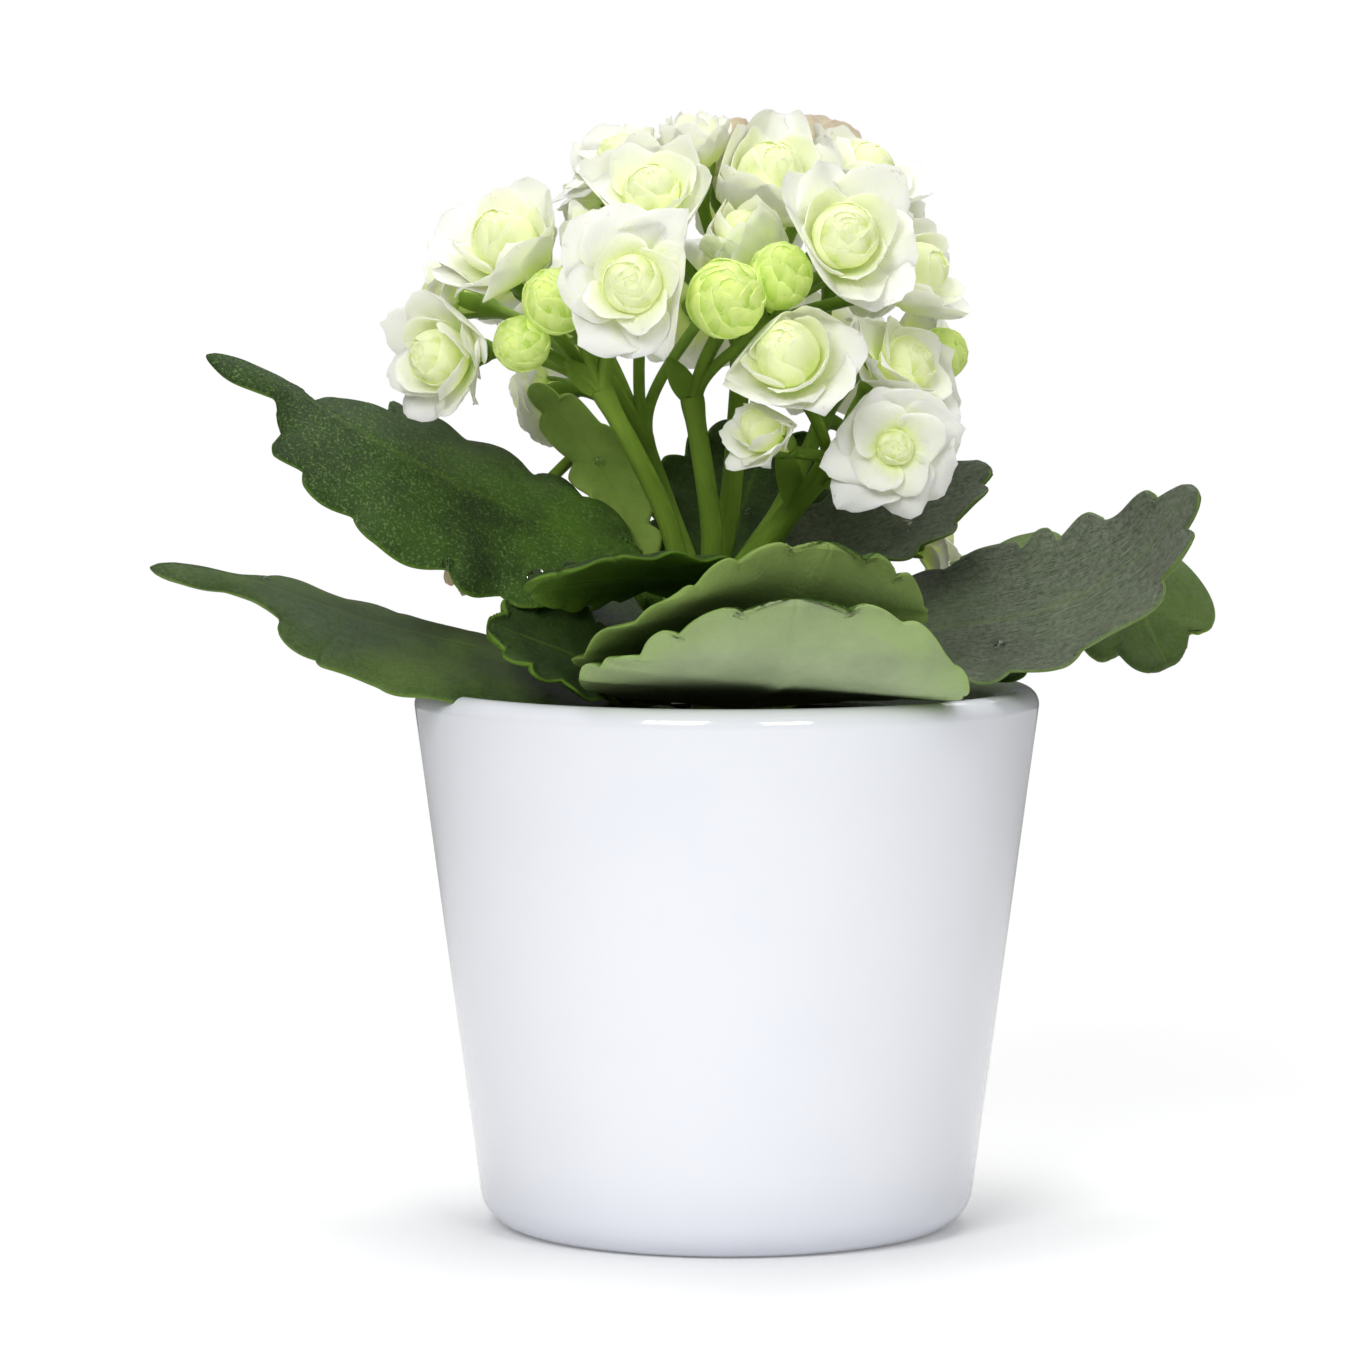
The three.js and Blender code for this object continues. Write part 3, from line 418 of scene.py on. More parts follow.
coverPot = {
    "height": 69.5,
    "rimRadius": 40,
    "footRadius": 31.8,
    "heelRadius": 5.5,
    "innerHeelRadius": 4,
    "wall": 4.4,
    "footWall": 2.8,
    "floor": 5,
    "sides": 128,
    "glaze": (238, 240, 246),
    # greyer glaze: painted shade over the pot's lowest 12 mm, and random cloudy patches
    "lowShadeAndCloud": (226, 229, 238),
}


def arc(centre, radius, first, last, steps):
    angles = np.radians(np.linspace(first, last, steps + 1))
    return [(centre[0] + radius * math.cos(a), centre[1] + radius * math.sin(a)) for a in angles]


def turned(skin, profile, sides, waviness=lambda turns, height: 0):
    turns = around(sides)
    rings = [circle(turns, radius + waviness(turns, height), height) for radius, height in profile[1:-1]]
    skin.stack((0, 0, profile[0][1]), rings, (0, 0, profile[-1][1]))


def glazeMaterial():
    material, wire = newMaterial("whiteGlaze")
    place = wire.place()
    height = wire.node("ShaderNodeSeparateXYZ", {}, {0: place}, 2)
    cloud = wire.noise(place, 34, 4)
    # painted shade: greyer over the lowest 12 mm of the pot, plus random cloudy patches of the same greyer
    # tone
    lowShadeAndCloud = (height.ramp(0.012, 0.0) + cloud.ramp(0.45, 0.9) * 0.35).clamp()
    ripple = wire.noise(place, 55, 2)
    pits = wire.noise(place, 900, 2)
    wire.surface({
        "Base Color": lowShadeAndCloud.colours(coverPot["glaze"], coverPot["lowShadeAndCloud"]),
        "Roughness": wire.noise(place, 120, 3) * 0.05 + 0.07,
        "Normal": wire.bump(ripple + pits * 0.03, 0.0006, 0.35),
        "IOR": 1.52, "Coat Weight": 0.35, "Coat Roughness": 0.04,
    })
    return material


def makeCoverPot():
    p = coverPot
    lip = p["wall"] / 2
    inner = p["footRadius"] - p["footWall"] - p["innerHeelRadius"]
    heel = arc((p["footRadius"] - p["heelRadius"], p["heelRadius"]), p["heelRadius"], -90, -12, 14)
    rim = arc((p["rimRadius"] - lip, p["height"] - lip), lip, -8, 180, 26)
    bowl = arc((inner, p["floor"] + p["innerHeelRadius"]), p["innerHeelRadius"], 0, -90, 8)
    wallUp = between([heel[-1], rim[0]], np.linspace(0, 1, 14)[1:-1])
    wallDown = between([rim[-1], bowl[0]], np.linspace(0, 1, 10)[1:-1])
    profile = [(0, 0), (14, 0), (heel[0][0] - 1, 0), *heel, *wallUp]
    profile += [*rim, *wallDown, *bowl, (8, p["floor"]), (0, p["floor"])]
    skin = Skin()
    turned(skin, profile, p["sides"])
    skin.piece("glazedCoverPot", glazeMaterial(), "ceramic", "cover_pot")


makeCoverPot()
print("cover pot made")


# Nursery pot: thin black plastic with a rolled rim

nurseryPot = {
    "rimRadius": 33.4,
    "baseRadius": 24.5,
    "base": 5.3,
    "top": 65,
    "wall": 1,
    "lip": 1.4,
    "lipDepth": 3,
    "sides": 96,
    "ribs": 24,
    "plastic": (24, 24, 25),
    "dust": (82, 74, 62),
}


def plasticMaterial():
    material, wire = newMaterial("blackPlastic")
    place = wire.place()
    dust = wire.noise(place, 260, 4).ramp(0.52, 0.8) * 0.4
    wire.surface({
        "Base Color": dust.colours(nurseryPot["plastic"], nurseryPot["dust"]),
        "Roughness": wire.noise(place, 90, 2) * 0.2 + 0.28,
        "Normal": wire.bump(wire.noise(place, 2600, 2), 0.00008, 0.5),
    })
    return material


def makeNurseryPot():
    p = nurseryPot
    wallTop = p["rimRadius"] - p["lip"]
    low = p["top"] - p["lipDepth"]
    inBase = p["base"] + p["wall"]
    profile = [(0, p["base"]), (12, p["base"])]
    profile += [(p["baseRadius"] - 0.6, p["base"]), (p["baseRadius"], p["base"] + 0.6)]
    profile += [*between([(p["baseRadius"], p["base"]), (wallTop, low)], np.linspace(0.03, 1, 12))]
    profile += [(p["rimRadius"] - 0.3, low), (p["rimRadius"], low + 0.4)]
    profile += arc((wallTop + 0.4, p["top"] - 1), 1.0, 0, 100, 6) + [(wallTop - p["wall"], p["top"] - 0.3)]
    inside = [(wallTop - p["wall"], low), (p["baseRadius"] - p["wall"], inBase)]
    profile += [*between(inside, np.linspace(0, 1, 8)), (0, inBase)]

    def ribbed(turns, height):
        return 0.12 * np.cos(turns * p["ribs"]) if low > height > p["base"] + 2 else 0

    skin = Skin()
    turned(skin, profile, p["sides"], ribbed)
    skin.piece("nurseryPotShell", plasticMaterial(), "nursery_plastic", "nursery_pot")


makeNurseryPot()
print("nursery pot made")


# Potting soil: crumbled peat with a little grit

soil = {
    "top": 60,
    "edge": 29.4,
    "base": 6.6,
    "middle": 33,
    "baseRadius": 22.9,
    "rings": 46,
    "sides": 132,
    "waves": 26,
    "crumbs": 420,
    "clearOfStem": 4.5,
    "peat": (52, 38, 28),
    "dryPeat": (92, 70, 52),
    "grit": (150, 140, 126),
}


def bumpyGround(x, y):
    draw = random.Random(5)
    height = np.zeros_like(x)
    for _ in range(soil["waves"]):
        turn = draw.uniform(0, 2 * math.pi)
        wave = draw.uniform(0.35, 3.2)
        along = x * math.cos(turn) + y * math.sin(turn)
        height += np.sin(wave * along + draw.uniform(0, 6.3)) / (0.8 + wave)
    return height * 0.3


def soilMaterial():
    material, wire = newMaterial("dampPeat")
    place = wire.place()
    patches = wire.noise(place, 160, 6, 0.65)
    gritty = wire.noise(place, 900, 3).ramp(0.66, 0.74) * 0.6
    peat = patches.ramp(0.4, 0.75).colours(soil["peat"], soil["dryPeat"])
    wire.surface({
        "Base Color": gritty.colours(peat, soil["grit"]), "Roughness": patches * 0.3 + 0.65,
        "Normal": wire.bump(wire.noise(place, 620, 8, 0.7), 0.0008, 0.9),
    })
    return material


def makeSoil():
    p = soil
    skin = Skin()
    turns = around(p["sides"])
    halfway = mix(p["baseRadius"], p["edge"], 0.5)
    rings = [circle(turns, p["baseRadius"], p["base"]), circle(turns, halfway, p["middle"])]
    for step in range(p["rings"]):
        ring = circle(turns, p["edge"] * (1 - step / p["rings"]), p["top"])
        ring[:, 2] += (0.5 + bumpyGround(ring[:, 0], ring[:, 1])) * ease(step / p["rings"], 0, 0.1)
        rings.append(ring)
    skin.stack((0, 0, p["base"]), rings, (0, 0, p["top"] + 0.5))
    draw = random.Random(11)
    for _ in range(p["crumbs"]):
        radius = p["edge"] * 0.96 * math.sqrt(draw.random())
        at = circle(np.array([draw.uniform(0, 2 * math.pi)]), radius, p["top"] + 0.4)[0]
        if math.hypot(at[0] - mainStem["x"], at[1] - mainStem["y"]) < p["clearOfStem"]:
            continue
        at[2] += bumpyGround(at[:1], at[1:2])[0]
        addCrumb(skin, at, draw.uniform(0.35, 1.15), draw)
    skin.piece("peatFill", soilMaterial(), "soil", "potting_soil")


def addCrumb(skin, at, size, draw, sides=7, rows=4):
    stretch = np.array([draw.uniform(0.7, 1.3) for _ in range(3)]) * size
    rings = []
    for latitude in np.radians(np.linspace(-60, 60, rows)):
        out = math.cos(latitude) * np.array([draw.uniform(0.75, 1.15) for _ in range(sides)])
        rings.append(circle(around(sides), out, math.sin(latitude)) * stretch + at)
    half = np.array([0, 0, stretch[2]])
    skin.stack(at - half, rings, at + half, chance=draw.random())


# Main stem, from its hole in the soil to the crown

mainStem = {
    "x": -1.5,
    "y": -1,
    "bottom": 48,
    "radius": 3.4,
    "crownRadius": 5.4,
    "crownBase": 73,
    "crownFlare": 6,
    "crownTop": 80,
    "sides": 40,
    "young": (104, 140, 58),
    "bark": (112, 104, 66),
}


def stemMaterial(name, bright, deep, streaks=0.5):
    material, wire = newMaterial(name)
    u, v, _ = wire.tone()
    place = wire.place()
    length = wire.noise(wire.vector(u * 3, v * 60, 0), 3, 3)
    cloud = wire.noise(place, 90, 3)
    shade = (length * streaks + cloud * (1 - streaks)).ramp(0.3, 0.72)
    relief = length + wire.noise(place, 1500, 2) * 0.3
    wire.surface({
        "Base Color": shade.colours(deep, bright), "Roughness": cloud * 0.15 + 0.34,
        "Normal": wire.bump(relief, 0.00015, 0.7), "Specular IOR Level": 0.18,
        "Subsurface Weight": 0.12, "Subsurface Scale": 0.0015, "Subsurface Radius": (0.5, 1.0, 0.25),
    })
    return material


def makeMainStem():
    p = mainStem
    turns = around(p["sides"])
    rings = []
    for height in np.linspace(p["bottom"], p["crownTop"], 40):
        flare = ease(height, p["crownBase"] - p["crownFlare"], p["crownBase"])
        radius = mix(p["radius"], p["crownRadius"], flare)
        scars = 0.16 * np.sin(height * 2.4) + 0.1 * np.cos(3 * turns + height * 0.8)
        shrink = 0.35 + 0.8 * ease(height, p["crownTop"] - 1.2, p["crownTop"])
        out = radius - shrink + scars * (height < p["crownTop"] - 1)
        rings.append(circle(turns, out, height, (p["x"], p["y"])))
    skin = Skin()
    skin.stack((p["x"], p["y"], p["bottom"]), rings, (p["x"], p["y"], p["crownTop"]))
    skin.piece("crownStem", stemMaterial("barkyStem", p["young"], p["bark"], 0.3), "stem", "main_stem")


makeMainStem()
makeSoil()
print("soil and stem made")


# Leaves: each leaves the stem at a height and runs through its path to its tip. "faces" is the
# way its upper side looks, from root to tip; "tongue" is where a drawn-out tip starts, as a share of
# the length, and half its breadth; "narrowing" is how long each side takes to get there.

leafShape = {
    "thickness": 1.8,
    "petioleWidth": 4.2,
    "petioleShare": 0.1,
    "tipWidth": 0.24,
    "firstTooth": 0.14,
    "biteReach": 4.5,  # how far in from the margin a notch pulls the blade, in notch depths
    "gap": 0.3,
    "rows": 240,
    "columns": 41,
}

leaves = {
    "leaf_upper_left": dict(
        start=77, width=31, broadest=0.38, roundness=1.4, cup=-0.2, teeth=7, notch=2.3, look="speckled",
        tongue=(0.84, 2.3), narrowing=(0.06, 0.2),
        path=[(-14, -5, 85.5), (-27, -8, 91.8), (-42, -10, 99.3), (-55, -9, 107), (-66, -6, 112)],
        faces=[(0.3, -0.55, 0.8), (0.42, -0.6, 0.68)]),
    "leaf_lower_left": dict(
        start=65, width=25, broadest=0.46, roundness=1.3, cup=-0.22, teeth=6, notch=1.7, look="folded",
        tongue=(0.86, 2.6), narrowing=(0.2, 0.07),
        path=[(-14, -6, 68.5), (-27, -8.5, 73), (-45, -10, 77.7), (-62, -10.5, 83.3), (-73, -10, 85.3)],
        faces=[(0.2, -0.3, 0.95), (0.25, -0.35, 0.9)]),
    "leaf_young_left": dict(
        start=79, width=9, broadest=0.5, roundness=1, cup=0.15, teeth=4, notch=1.4, look="young",
        path=[(-10.6, 2.7, 84), (-13.4, 4, 92), (-18.5, 4.5, 100.5), (-25.2, 4, 107.8)],
        faces=[(0.1, -1, 0.1), (0.2, -1, 0.3)]),
    "leaf_front_left": dict(
        start=75, width=22, broadest=0.42, roundness=1.1, cup=-0.15, teeth=6, notch=1.3, look="dark",
        path=[(-3, -10, 83), (-7, -17, 85), (-15, -26, 85.5), (-25, -33, 84.6)],
        faces=[(0.2, 0.55, 0.8), (-0.1, 0.5, 0.9)]),
    "leaf_front_middle": dict(
        start=71, width=46, broadest=0.58, roundness=0.95, cup=-0.05, teeth=7, notch=1.4, look="midGreen",
        path=[(0, -9, 74.3), (0, -18, 76.8), (2, -27, 79), (6.5, -34, 81.5), (10, -38, 85), (12, -39.5, 90)],
        faces=[(-0.1, 0.1, 1), (-0.15, 0.2, 1), (-0.3, 0.5, 0.85), (-0.6, 0.8, 0.3)]),
    "leaf_front_low": dict(
        start=66, width=48, broadest=0.55, roundness=0.9, cup=0, teeth=7, notch=1.4, look="pale",
        path=[(1.5, -9, 68), (3, -20, 70), (5, -31, 72), (7, -40, 74), (7.8, -45.5, 78), (8, -48, 83.6)],
        faces=[(0, 0.1, 1), (0, 0.15, 1), (0, 0.45, 0.9), (-0.1, 0.95, 0.35)]),
    "leaf_left_inner": dict(
        start=70, width=19, broadest=0.5, roundness=1, cup=0.25, teeth=6, notch=1.5, look="dark",
        path=[(-8, -6, 71), (-15, -12, 72), (-22, -17, 75), (-30, -21, 78.3)],
        faces=[(0.2, -0.5, 0.8), (0.2, -0.7, 0.7)]),
    "leaf_right": dict(
        start=72, width=30, broadest=0.48, roundness=1.1, cup=0.15, teeth=6, notch=2.5, look="waxy",
        path=[(12, -3, 74), (26, -6, 76.5), (41, -9, 79.5), (52, -11, 86), (59, -12, 95.5)],
        faces=[(-0.1, -0.35, 0.95), (-0.75, -0.5, 0.45)]),
    "leaf_right_low": dict(
        start=64.5, width=30, broadest=0.56, roundness=1.15, cup=-0.05, teeth=6, notch=2.6, look="bright",
        path=[(12, 4, 69.5), (26, 7, 74.5), (40, 8, 80.8), (51, 5, 80.8), (56.5, -1, 71.8)],
        faces=[(0.1, -0.2, 1), (0.1, -0.3, 0.95), (0.15, -0.5, 0.8), (0.1, -0.95, 0.3)]),
    "leaf_upper_right": dict(
        start=77.5, width=20, broadest=0.5, roundness=1.1, cup=0.2, teeth=5, notch=1.7, look="waxy",
        path=[(7.5, 2, 82.8), (15, 5.5, 87), (25, 8, 91.3), (34, 10, 97.3)],
        faces=[(0.1, -0.5, 0.85), (-0.3, -0.55, 0.8)]),
    "leaf_upper_back": dict(
        start=76, width=25, broadest=0.52, roundness=1, cup=0.25, teeth=6, notch=1.8, look="dark",
        path=[(-0.5, 9, 82), (1.5, 16, 89), (4, 22, 96), (6, 26, 102.5)],
        faces=[(-0.1, -0.6, 0.7), (-0.1, -0.9, 0.4)]),
    "leaf_back_left": dict(
        start=69, width=26, broadest=0.5, roundness=1.1, cup=-0.2, teeth=6, notch=1.9, look="speckled",
        path=[(-9, 8, 76), (-18, 17, 82), (-28, 26, 86), (-37, 34, 87)],
        faces=[(0.2, -0.2, 0.95), (0.1, -0.1, 1)]),
    "leaf_back_right": dict(
        start=68, width=27, broadest=0.5, roundness=1.1, cup=-0.25, teeth=6, notch=1.9, look="folded",
        path=[(3.5, 11, 74), (7.5, 23, 79.5), (12, 36, 82), (16, 49, 80.5)],
        faces=[(-0.1, -0.1, 0.95), (0, 0, 1)]),
}

# colours of the upper side in light and dark patches and near the root, of the underside and of
# the margin; speckle and streaks of pale wax, from 0 to 1
leafLooks = {
    "speckled": dict(
        upper=(42, 70, 12), deep=(20, 42, 4), fresh=(78, 116, 20),
        under=(104, 128, 52), margin=(96, 128, 38), speckle=1.0, streaks=0.1, gloss=0.14),
    "folded": dict(
        upper=(74, 100, 30), deep=(46, 74, 18), fresh=(110, 142, 44),
        under=(108, 132, 60), margin=(116, 142, 60), speckle=0.5, streaks=0.3, gloss=0.2),
    "young": dict(
        upper=(156, 184, 88), deep=(124, 156, 62), fresh=(164, 192, 90),
        under=(150, 176, 86), margin=(168, 194, 102), speckle=0.3, streaks=0.2, gloss=0.14),
    # for leaves seen in shade: their darker colours, the underside most, are painted shade; the margin stays
    # bright
    "dark": dict(
        upper=(52, 80, 16), deep=(26, 50, 6), fresh=(70, 106, 22),
        under=(76, 108, 32), margin=(112, 148, 48), speckle=0.3, streaks=0.15, gloss=0.16),
    "midGreen": dict(
        upper=(74, 110, 32), deep=(48, 82, 18), fresh=(96, 132, 40),
        under=(134, 158, 88), margin=(142, 168, 84), speckle=0.15, streaks=0.1, gloss=0.15),
    "pale": dict(
        upper=(78, 114, 40), deep=(58, 92, 28), fresh=(96, 132, 48),
        under=(174, 191, 146), margin=(150, 178, 96), speckle=0.1, streaks=0.1, gloss=0.15),
    "waxy": dict(
        upper=(58, 74, 40), deep=(24, 36, 14), fresh=(74, 94, 44),
        under=(100, 130, 50), margin=(112, 142, 50), speckle=0.3, streaks=1.0, gloss=0.45),
    "bright": dict(
        upper=(92, 120, 42), deep=(60, 88, 24), fresh=(112, 144, 44),
        under=(128, 162, 50), margin=(132, 162, 60), speckle=0.3, streaks=0.35, gloss=0.2),
}

leafWax = {
    "streaks": (146, 155, 132),
    "dots": (126, 152, 88),
}

leafStations = 1 - (1 - np.linspace(0, 1, leafShape["rows"])) ** 2.1  # closer towards the tip
leafColumns = np.sin(np.linspace(-1, 1, leafShape["columns"]) * math.pi / 2)  # closer towards the margins


# Half the width at each station of one side: a petiole, then an egg-shaped blade, which on some
# leaves narrows to a tongue within a share of the length
def leafHalfWidth(leaf, narrowing):
    p = leafShape
    u = leafStations
    blade = np.clip((u - p["petioleShare"]) / (1 - p["petioleShare"]), 1e-6, 1 - 1e-6)
    b = leaf["broadest"]
    outline = ((blade / b) ** b * ((1 - blade) / (1 - b)) ** (1 - b)) ** leaf["roundness"]
    half = leaf["width"] / 2 * outline
    if narrowing:
        neck, breadth = leaf["tongue"]
        past = np.clip((u - neck) / (1 - neck), 0, 1)
        tongue = breadth * np.sqrt(np.clip(1 - past ** 3, 0, 1)) * (0.85 + 0.25 * np.sin(math.pi * past))
        half = mix(half, tongue, ease(u, neck - narrowing, neck + 0.01))
    return np.maximum(np.maximum(p["petioleWidth"] / 2 * (1 - u), half), p["tipWidth"] / 2)


# How far each point of one side is pulled in by the margin's notches, in mm along the leaf and
# across it: teeth of uneven size that lean towards the tip, evenly spaced along the margin
def marginNotches(leaf, half, length, phase, points):
    u = leafStations
    steps = np.hypot(np.diff(u) * length, np.diff(half))
    share = np.concatenate([[0], np.cumsum(steps)]) / steps.sum()
    share = np.maximum(share - leafShape["firstTooth"], 0) / (1 - leafShape["firstTooth"])
    count = share * (leaf["teeth"] + 0.72)
    count = count + 0.2 * np.sin(count * 2.1 + phase) * np.sin(math.pi * share)
    ahead = count % 1
    rise = np.sin(math.pi / 2 * np.minimum(1, ahead / 0.72))
    fall = np.cos(math.pi / 2 * np.maximum(0, ahead - 0.72) / 0.28) ** 0.7
    depth = leaf["notch"] * (1 + 0.35 * np.sin(count * 1.3 + 2 * phase) * np.sin(math.pi * share))
    tooth = np.minimum(1, np.sqrt((rise * fall) ** 2 + 0.03))
    depth = depth * (1 - tooth) * (share > 0)
    if "tongue" in leaf:
        depth = depth * (1 - ease(u, leaf["tongue"][0] - 0.05, leaf["tongue"][0]))
    slope = np.gradient(half, u * length)
    pull = np.stack([depth * -slope, depth], -1) / np.hypot(slope, 1)[:, None]
    margin = np.stack([u * length, half], -1)
    apart = np.linalg.norm(points[..., None, :] - margin, axis=-1)
    nearest = apart.argmin(-1)
    reach = np.clip(1 - apart.min(-1) / (leafShape["biteReach"] * leaf["notch"]), 0, 1) ** 2
    return pull[nearest] * reach[..., None]


def leafFoot(leaf):
    p = mainStem
    axis = np.array([p["x"], p["y"], leaf["start"]])
    outward = np.array(leaf["path"][0]) - axis
    outward[2] = 0
    widening = min(max((leaf["start"] - p["crownBase"]) / p["crownFlare"] + 1, 0), 1)
    return axis + unit(outward) * (mix(p["radius"], p["crownRadius"], widening) + 2 * leafShape["gap"])


def leafSheet(name, leaf):
    draw = random.Random(name)
    u = leafStations
    v = leafColumns
    centre, along = placesAlong(lineThrough([leafFoot(leaf), *leaf["path"]]), u)
    side = unit(np.cross(along, between(leaf["faces"], u)))
    normal = unit(np.cross(side, along))
    length = np.linalg.norm(np.diff(centre, axis=0), axis=1).sum()
    narrowing = leaf.get("narrowing", (0, 0))
    halves = [leafHalfWidth(leaf, share) for share in narrowing]
    phase = draw.uniform(0, 6)
    u = u[:, None]
    near = v < 0
    half = np.where(near, halves[0][:, None], halves[1][:, None])
    edge = np.abs(v)
    flat = joined(u * length, half * edge)
    pulls = [marginNotches(leaf, halves[k], length, phase + 1.7 * k, flat) for k in (0, 1)]
    pull = np.where(near[:, None], *pulls)
    opened = ease(u, 0.1, 0.4)
    bend = leaf["cup"] * opened * edge
    across = (half * edge - pull[..., 1]) * np.sign(v) * np.cos(bend)
    lift = half * edge * np.sin(bend)
    waves = 0.4 * edge ** 3 * np.sin(u * 2 * math.pi * leaf["teeth"] + phase + v)
    groove = -0.25 * np.exp(-((v * half) / 0.8) ** 2) * (1 - u)
    lift = lift + (waves * opened + groove) * np.minimum(1, half / 4)
    grid = centre[:, None] + side[:, None] * across[..., None] + normal[:, None] * lift[..., None]
    grid = grid - along[:, None] * pull[..., :1]
    fleshy = mix(1.35, 1, ease(u, 0, 0.3)) * np.minimum(1, half / 2.2)
    rounded = np.sqrt(np.clip(1 - edge ** 6, 0, 1))
    ribbed = 0.66 + 0.34 * np.exp(-((v * half) / 1.6) ** 2)
    ends = np.minimum(1, (1 - u) / 0.012) ** 0.5
    return grid, leafShape["thickness"] * fleshy * ribbed * rounded * ends


def leafMaterial(name):
    look = leafLooks[name]
    material, wire = newMaterial(name + "Leaf")
    u, v, side = wire.tone()
    place = wire.place()
    edge = abs(v)
    cloud = wire.noise(place, 70, 5, 0.6)
    fine = wire.noise(place, 2600, 3, 0.7)
    rib = edge.ramp(0.06, 0.0)
    pores = wire.noise(place, 1500, 2, 0.6)
    upper = cloud.ramp(0.3, 0.7).colours(look["deep"], look["upper"])
    fresh = (u.ramp(0.75, 0.2) * cloud.ramp(0.35, 0.7) * 0.55).clamp()
    upper = fresh.colours(upper, look["fresh"])
    wax = wire.noise(wire.vector(u * 6, v * 30, 0), 3, 8, 0.72)
    pitted = wax + pores * 0.45 - 0.22
    streaks = pitted.ramp(0.28, 0.72) * look["streaks"] * (u.ramp(0.15, 0.75) * 0.4 + 0.34)
    upper = streaks.colours(upper, leafWax["streaks"])
    dots = fine.ramp(0.52, 0.66) * look["speckle"] * cloud.ramp(0.2, 0.6) * 0.55
    upper = dots.colours(upper, leafWax["dots"])
    upper = (rib * 0.2).colours(upper, look["margin"])
    under = cloud.ramp(0.25, 0.75).colours([c * 0.84 for c in look["under"]], look["under"])
    faceUp = side.ramp(-0.25, 0.25)
    colour = faceUp.colours(under, upper)
    flush = (edge.ramp(0.5, 1.0) + u.ramp(0.8, 1.0)).clamp() * (1 - faceUp) * 0.5
    colour = (flush * cloud.ramp(0.2, 0.6)).colours(colour, look["margin"])
    colour = (edge.ramp(0.955, 1.0) * 0.55).colours(colour, look["margin"])
    relief = fine * 0.25 + pores * 0.5 + cloud * 1.4 - rib * 0.5 + wax * (0.3 + 1.6 * look["streaks"])
    wire.surface({
        "Base Color": colour, "Roughness": wax * 0.18 + 0.27 + dots * 0.4,
        "Normal": wire.bump(relief, 0.0005, 0.7), "Specular IOR Level": look["gloss"],
        "Subsurface Weight": 0.1, "Subsurface Scale": 0.002, "Subsurface Radius": (0.5, 1.0, 0.2),
    })
    return material


leafFinishes = {name: leafMaterial(name) for name in leafLooks}
leafSheets = {}


def makeLeaf(name, leaf):
    grid, thickness = leafSheets[name] = leafSheet(name, leaf)
    facing = np.ones(thickness.shape)
    facing[0] = facing[-1] = facing[:, 0] = facing[:, -1] = 0
    upperTone, lowerTone = [joined(leafStations[:, None], leafColumns, f) for f in (facing, -facing)]
    skin = Skin()
    skin.blade(grid, thickness, upperTone, lowerTone)
    skin.piece(name.replace("leaf_", "scallopedLeaf_"), leafFinishes[leaf["look"]], "leaf", name)


for leafName, leafPlan in leaves.items():
    makeLeaf(leafName, leafPlan)
print("leaves made")


# Blooms and buds: centre, the way each faces as (azimuth, elevation) with -90 to the front,
# radius with the petals out, and how far it has opened

flowers = {
    "bloom_01": ((-11.6, -26.5, 121), (-95, 6), 8.9, "open"),
    "bloom_02": ((13.8, -21.5, 125.4), (-82, 22), 9, "cup"),
    "bloom_03": ((7.8, -24.3, 110.8), (-98, 28), 8.6, "cup"),
    "bloom_04": ((-26.6, -14.6, 123.2), (-118, 48), 8.8, "cup"),
    "bloom_05": ((-33.6, -10.5, 112.2), (-138, -4), 7.8, "cup"),
    "bloom_06": ((-12.6, -2, 134.6), (-140, 64), 8, "open"),
    "bloom_07": ((-9.2, -13.5, 130.8), (-100, 40), 8.8, "open"),
    "bloom_08": ((-15.8, -14, 123.6), (-125, 54), 6.2, "half"),
    "bloom_09": ((-0.5, 5, 135), (90, 80), 7.4, "faded"),
    "bloom_10": ((4.9, -8.6, 131.6), (-82, 42), 9.2, "cup"),
    "bloom_11": ((10.5, 6, 134), (55, 62), 7.8, "faded"),
    "bloom_12": ((1.8, -15.6, 124.2), (-88, 62), 6.8, "half"),
    "bloom_13": ((20.8, -9, 121.2), (-30, 22), 8, "cup"),
    "bloom_14": ((20.6, -13, 109.6), (-38, 30), 8.8, "open"),
    "bloom_15": ((20.6, -22, 101), (-84, -4), 7.8, "flat"),
    "bloom_16": ((5.6, -24, 102.2), (-135, 30), 5.4, "cup"),
    "bloom_17": ((-23.2, 12, 106.4), (165, -10), 6.6, "open"),
    "bloom_18": ((25.6, 16.4, 87.2), (12, 8), 6.2, "open"),
    "bloom_19": ((-33.5, 9, 86), (176, -30), 4.6, "faded"),
    "bloom_20": ((-34.4, 1, 118.8), (172, 14), 7, "open"),
    "bloom_21": ((-14.5, 8, 132.4), (150, 54), 7.2, "open"),
    "bloom_22": ((-3.8, -6.5, 136), (-115, 76), 5.6, "half"),
    "bloom_23": ((21, 4.6, 126.4), (16, 32), 7.6, "open"),
    "bloom_24": ((15.6, -2.5, 131.6), (-20, 58), 8, "cup"),
    "bloom_25": ((-27, 13, 122), (142, 32), 8, "open"),
    "bloom_26": ((-13, 20, 127.5), (112, 42), 8.2, "open"),
    "bloom_27": ((3, 20, 128.2), (86, 44), 8.2, "cup"),
    "bloom_28": ((16, 16, 122.5), (52, 30), 8, "open"),
    "bloom_29": ((-20, 25, 115), (118, 8), 8, "cup"),
    "bloom_30": ((-3.5, 28, 117.5), (94, 12), 8.2, "open"),
    "bloom_31": ((12, 25, 111), (66, 6), 7.8, "cup"),
    "bloom_32": ((23.6, 11, 111.5), (24, 4), 7.2, "open"),
    "bud_1": ((-0.3, -27.6, 119.4), (-88, 22), 5, "bud"),
    "bud_2": ((6.5, -22.8, 122.2), (-72, 52), 4.1, "bud"),
    "bud_3": ((-21.5, -21.8, 119), (-110, 24), 4.2, "bud"),
    "bud_4": ((-25.7, -20.5, 113.7), (-112, 8), 3.6, "bud"),
    "bud_5": ((27.2, -4.5, 112), (-14, 46), 3.4, "bud"),
}

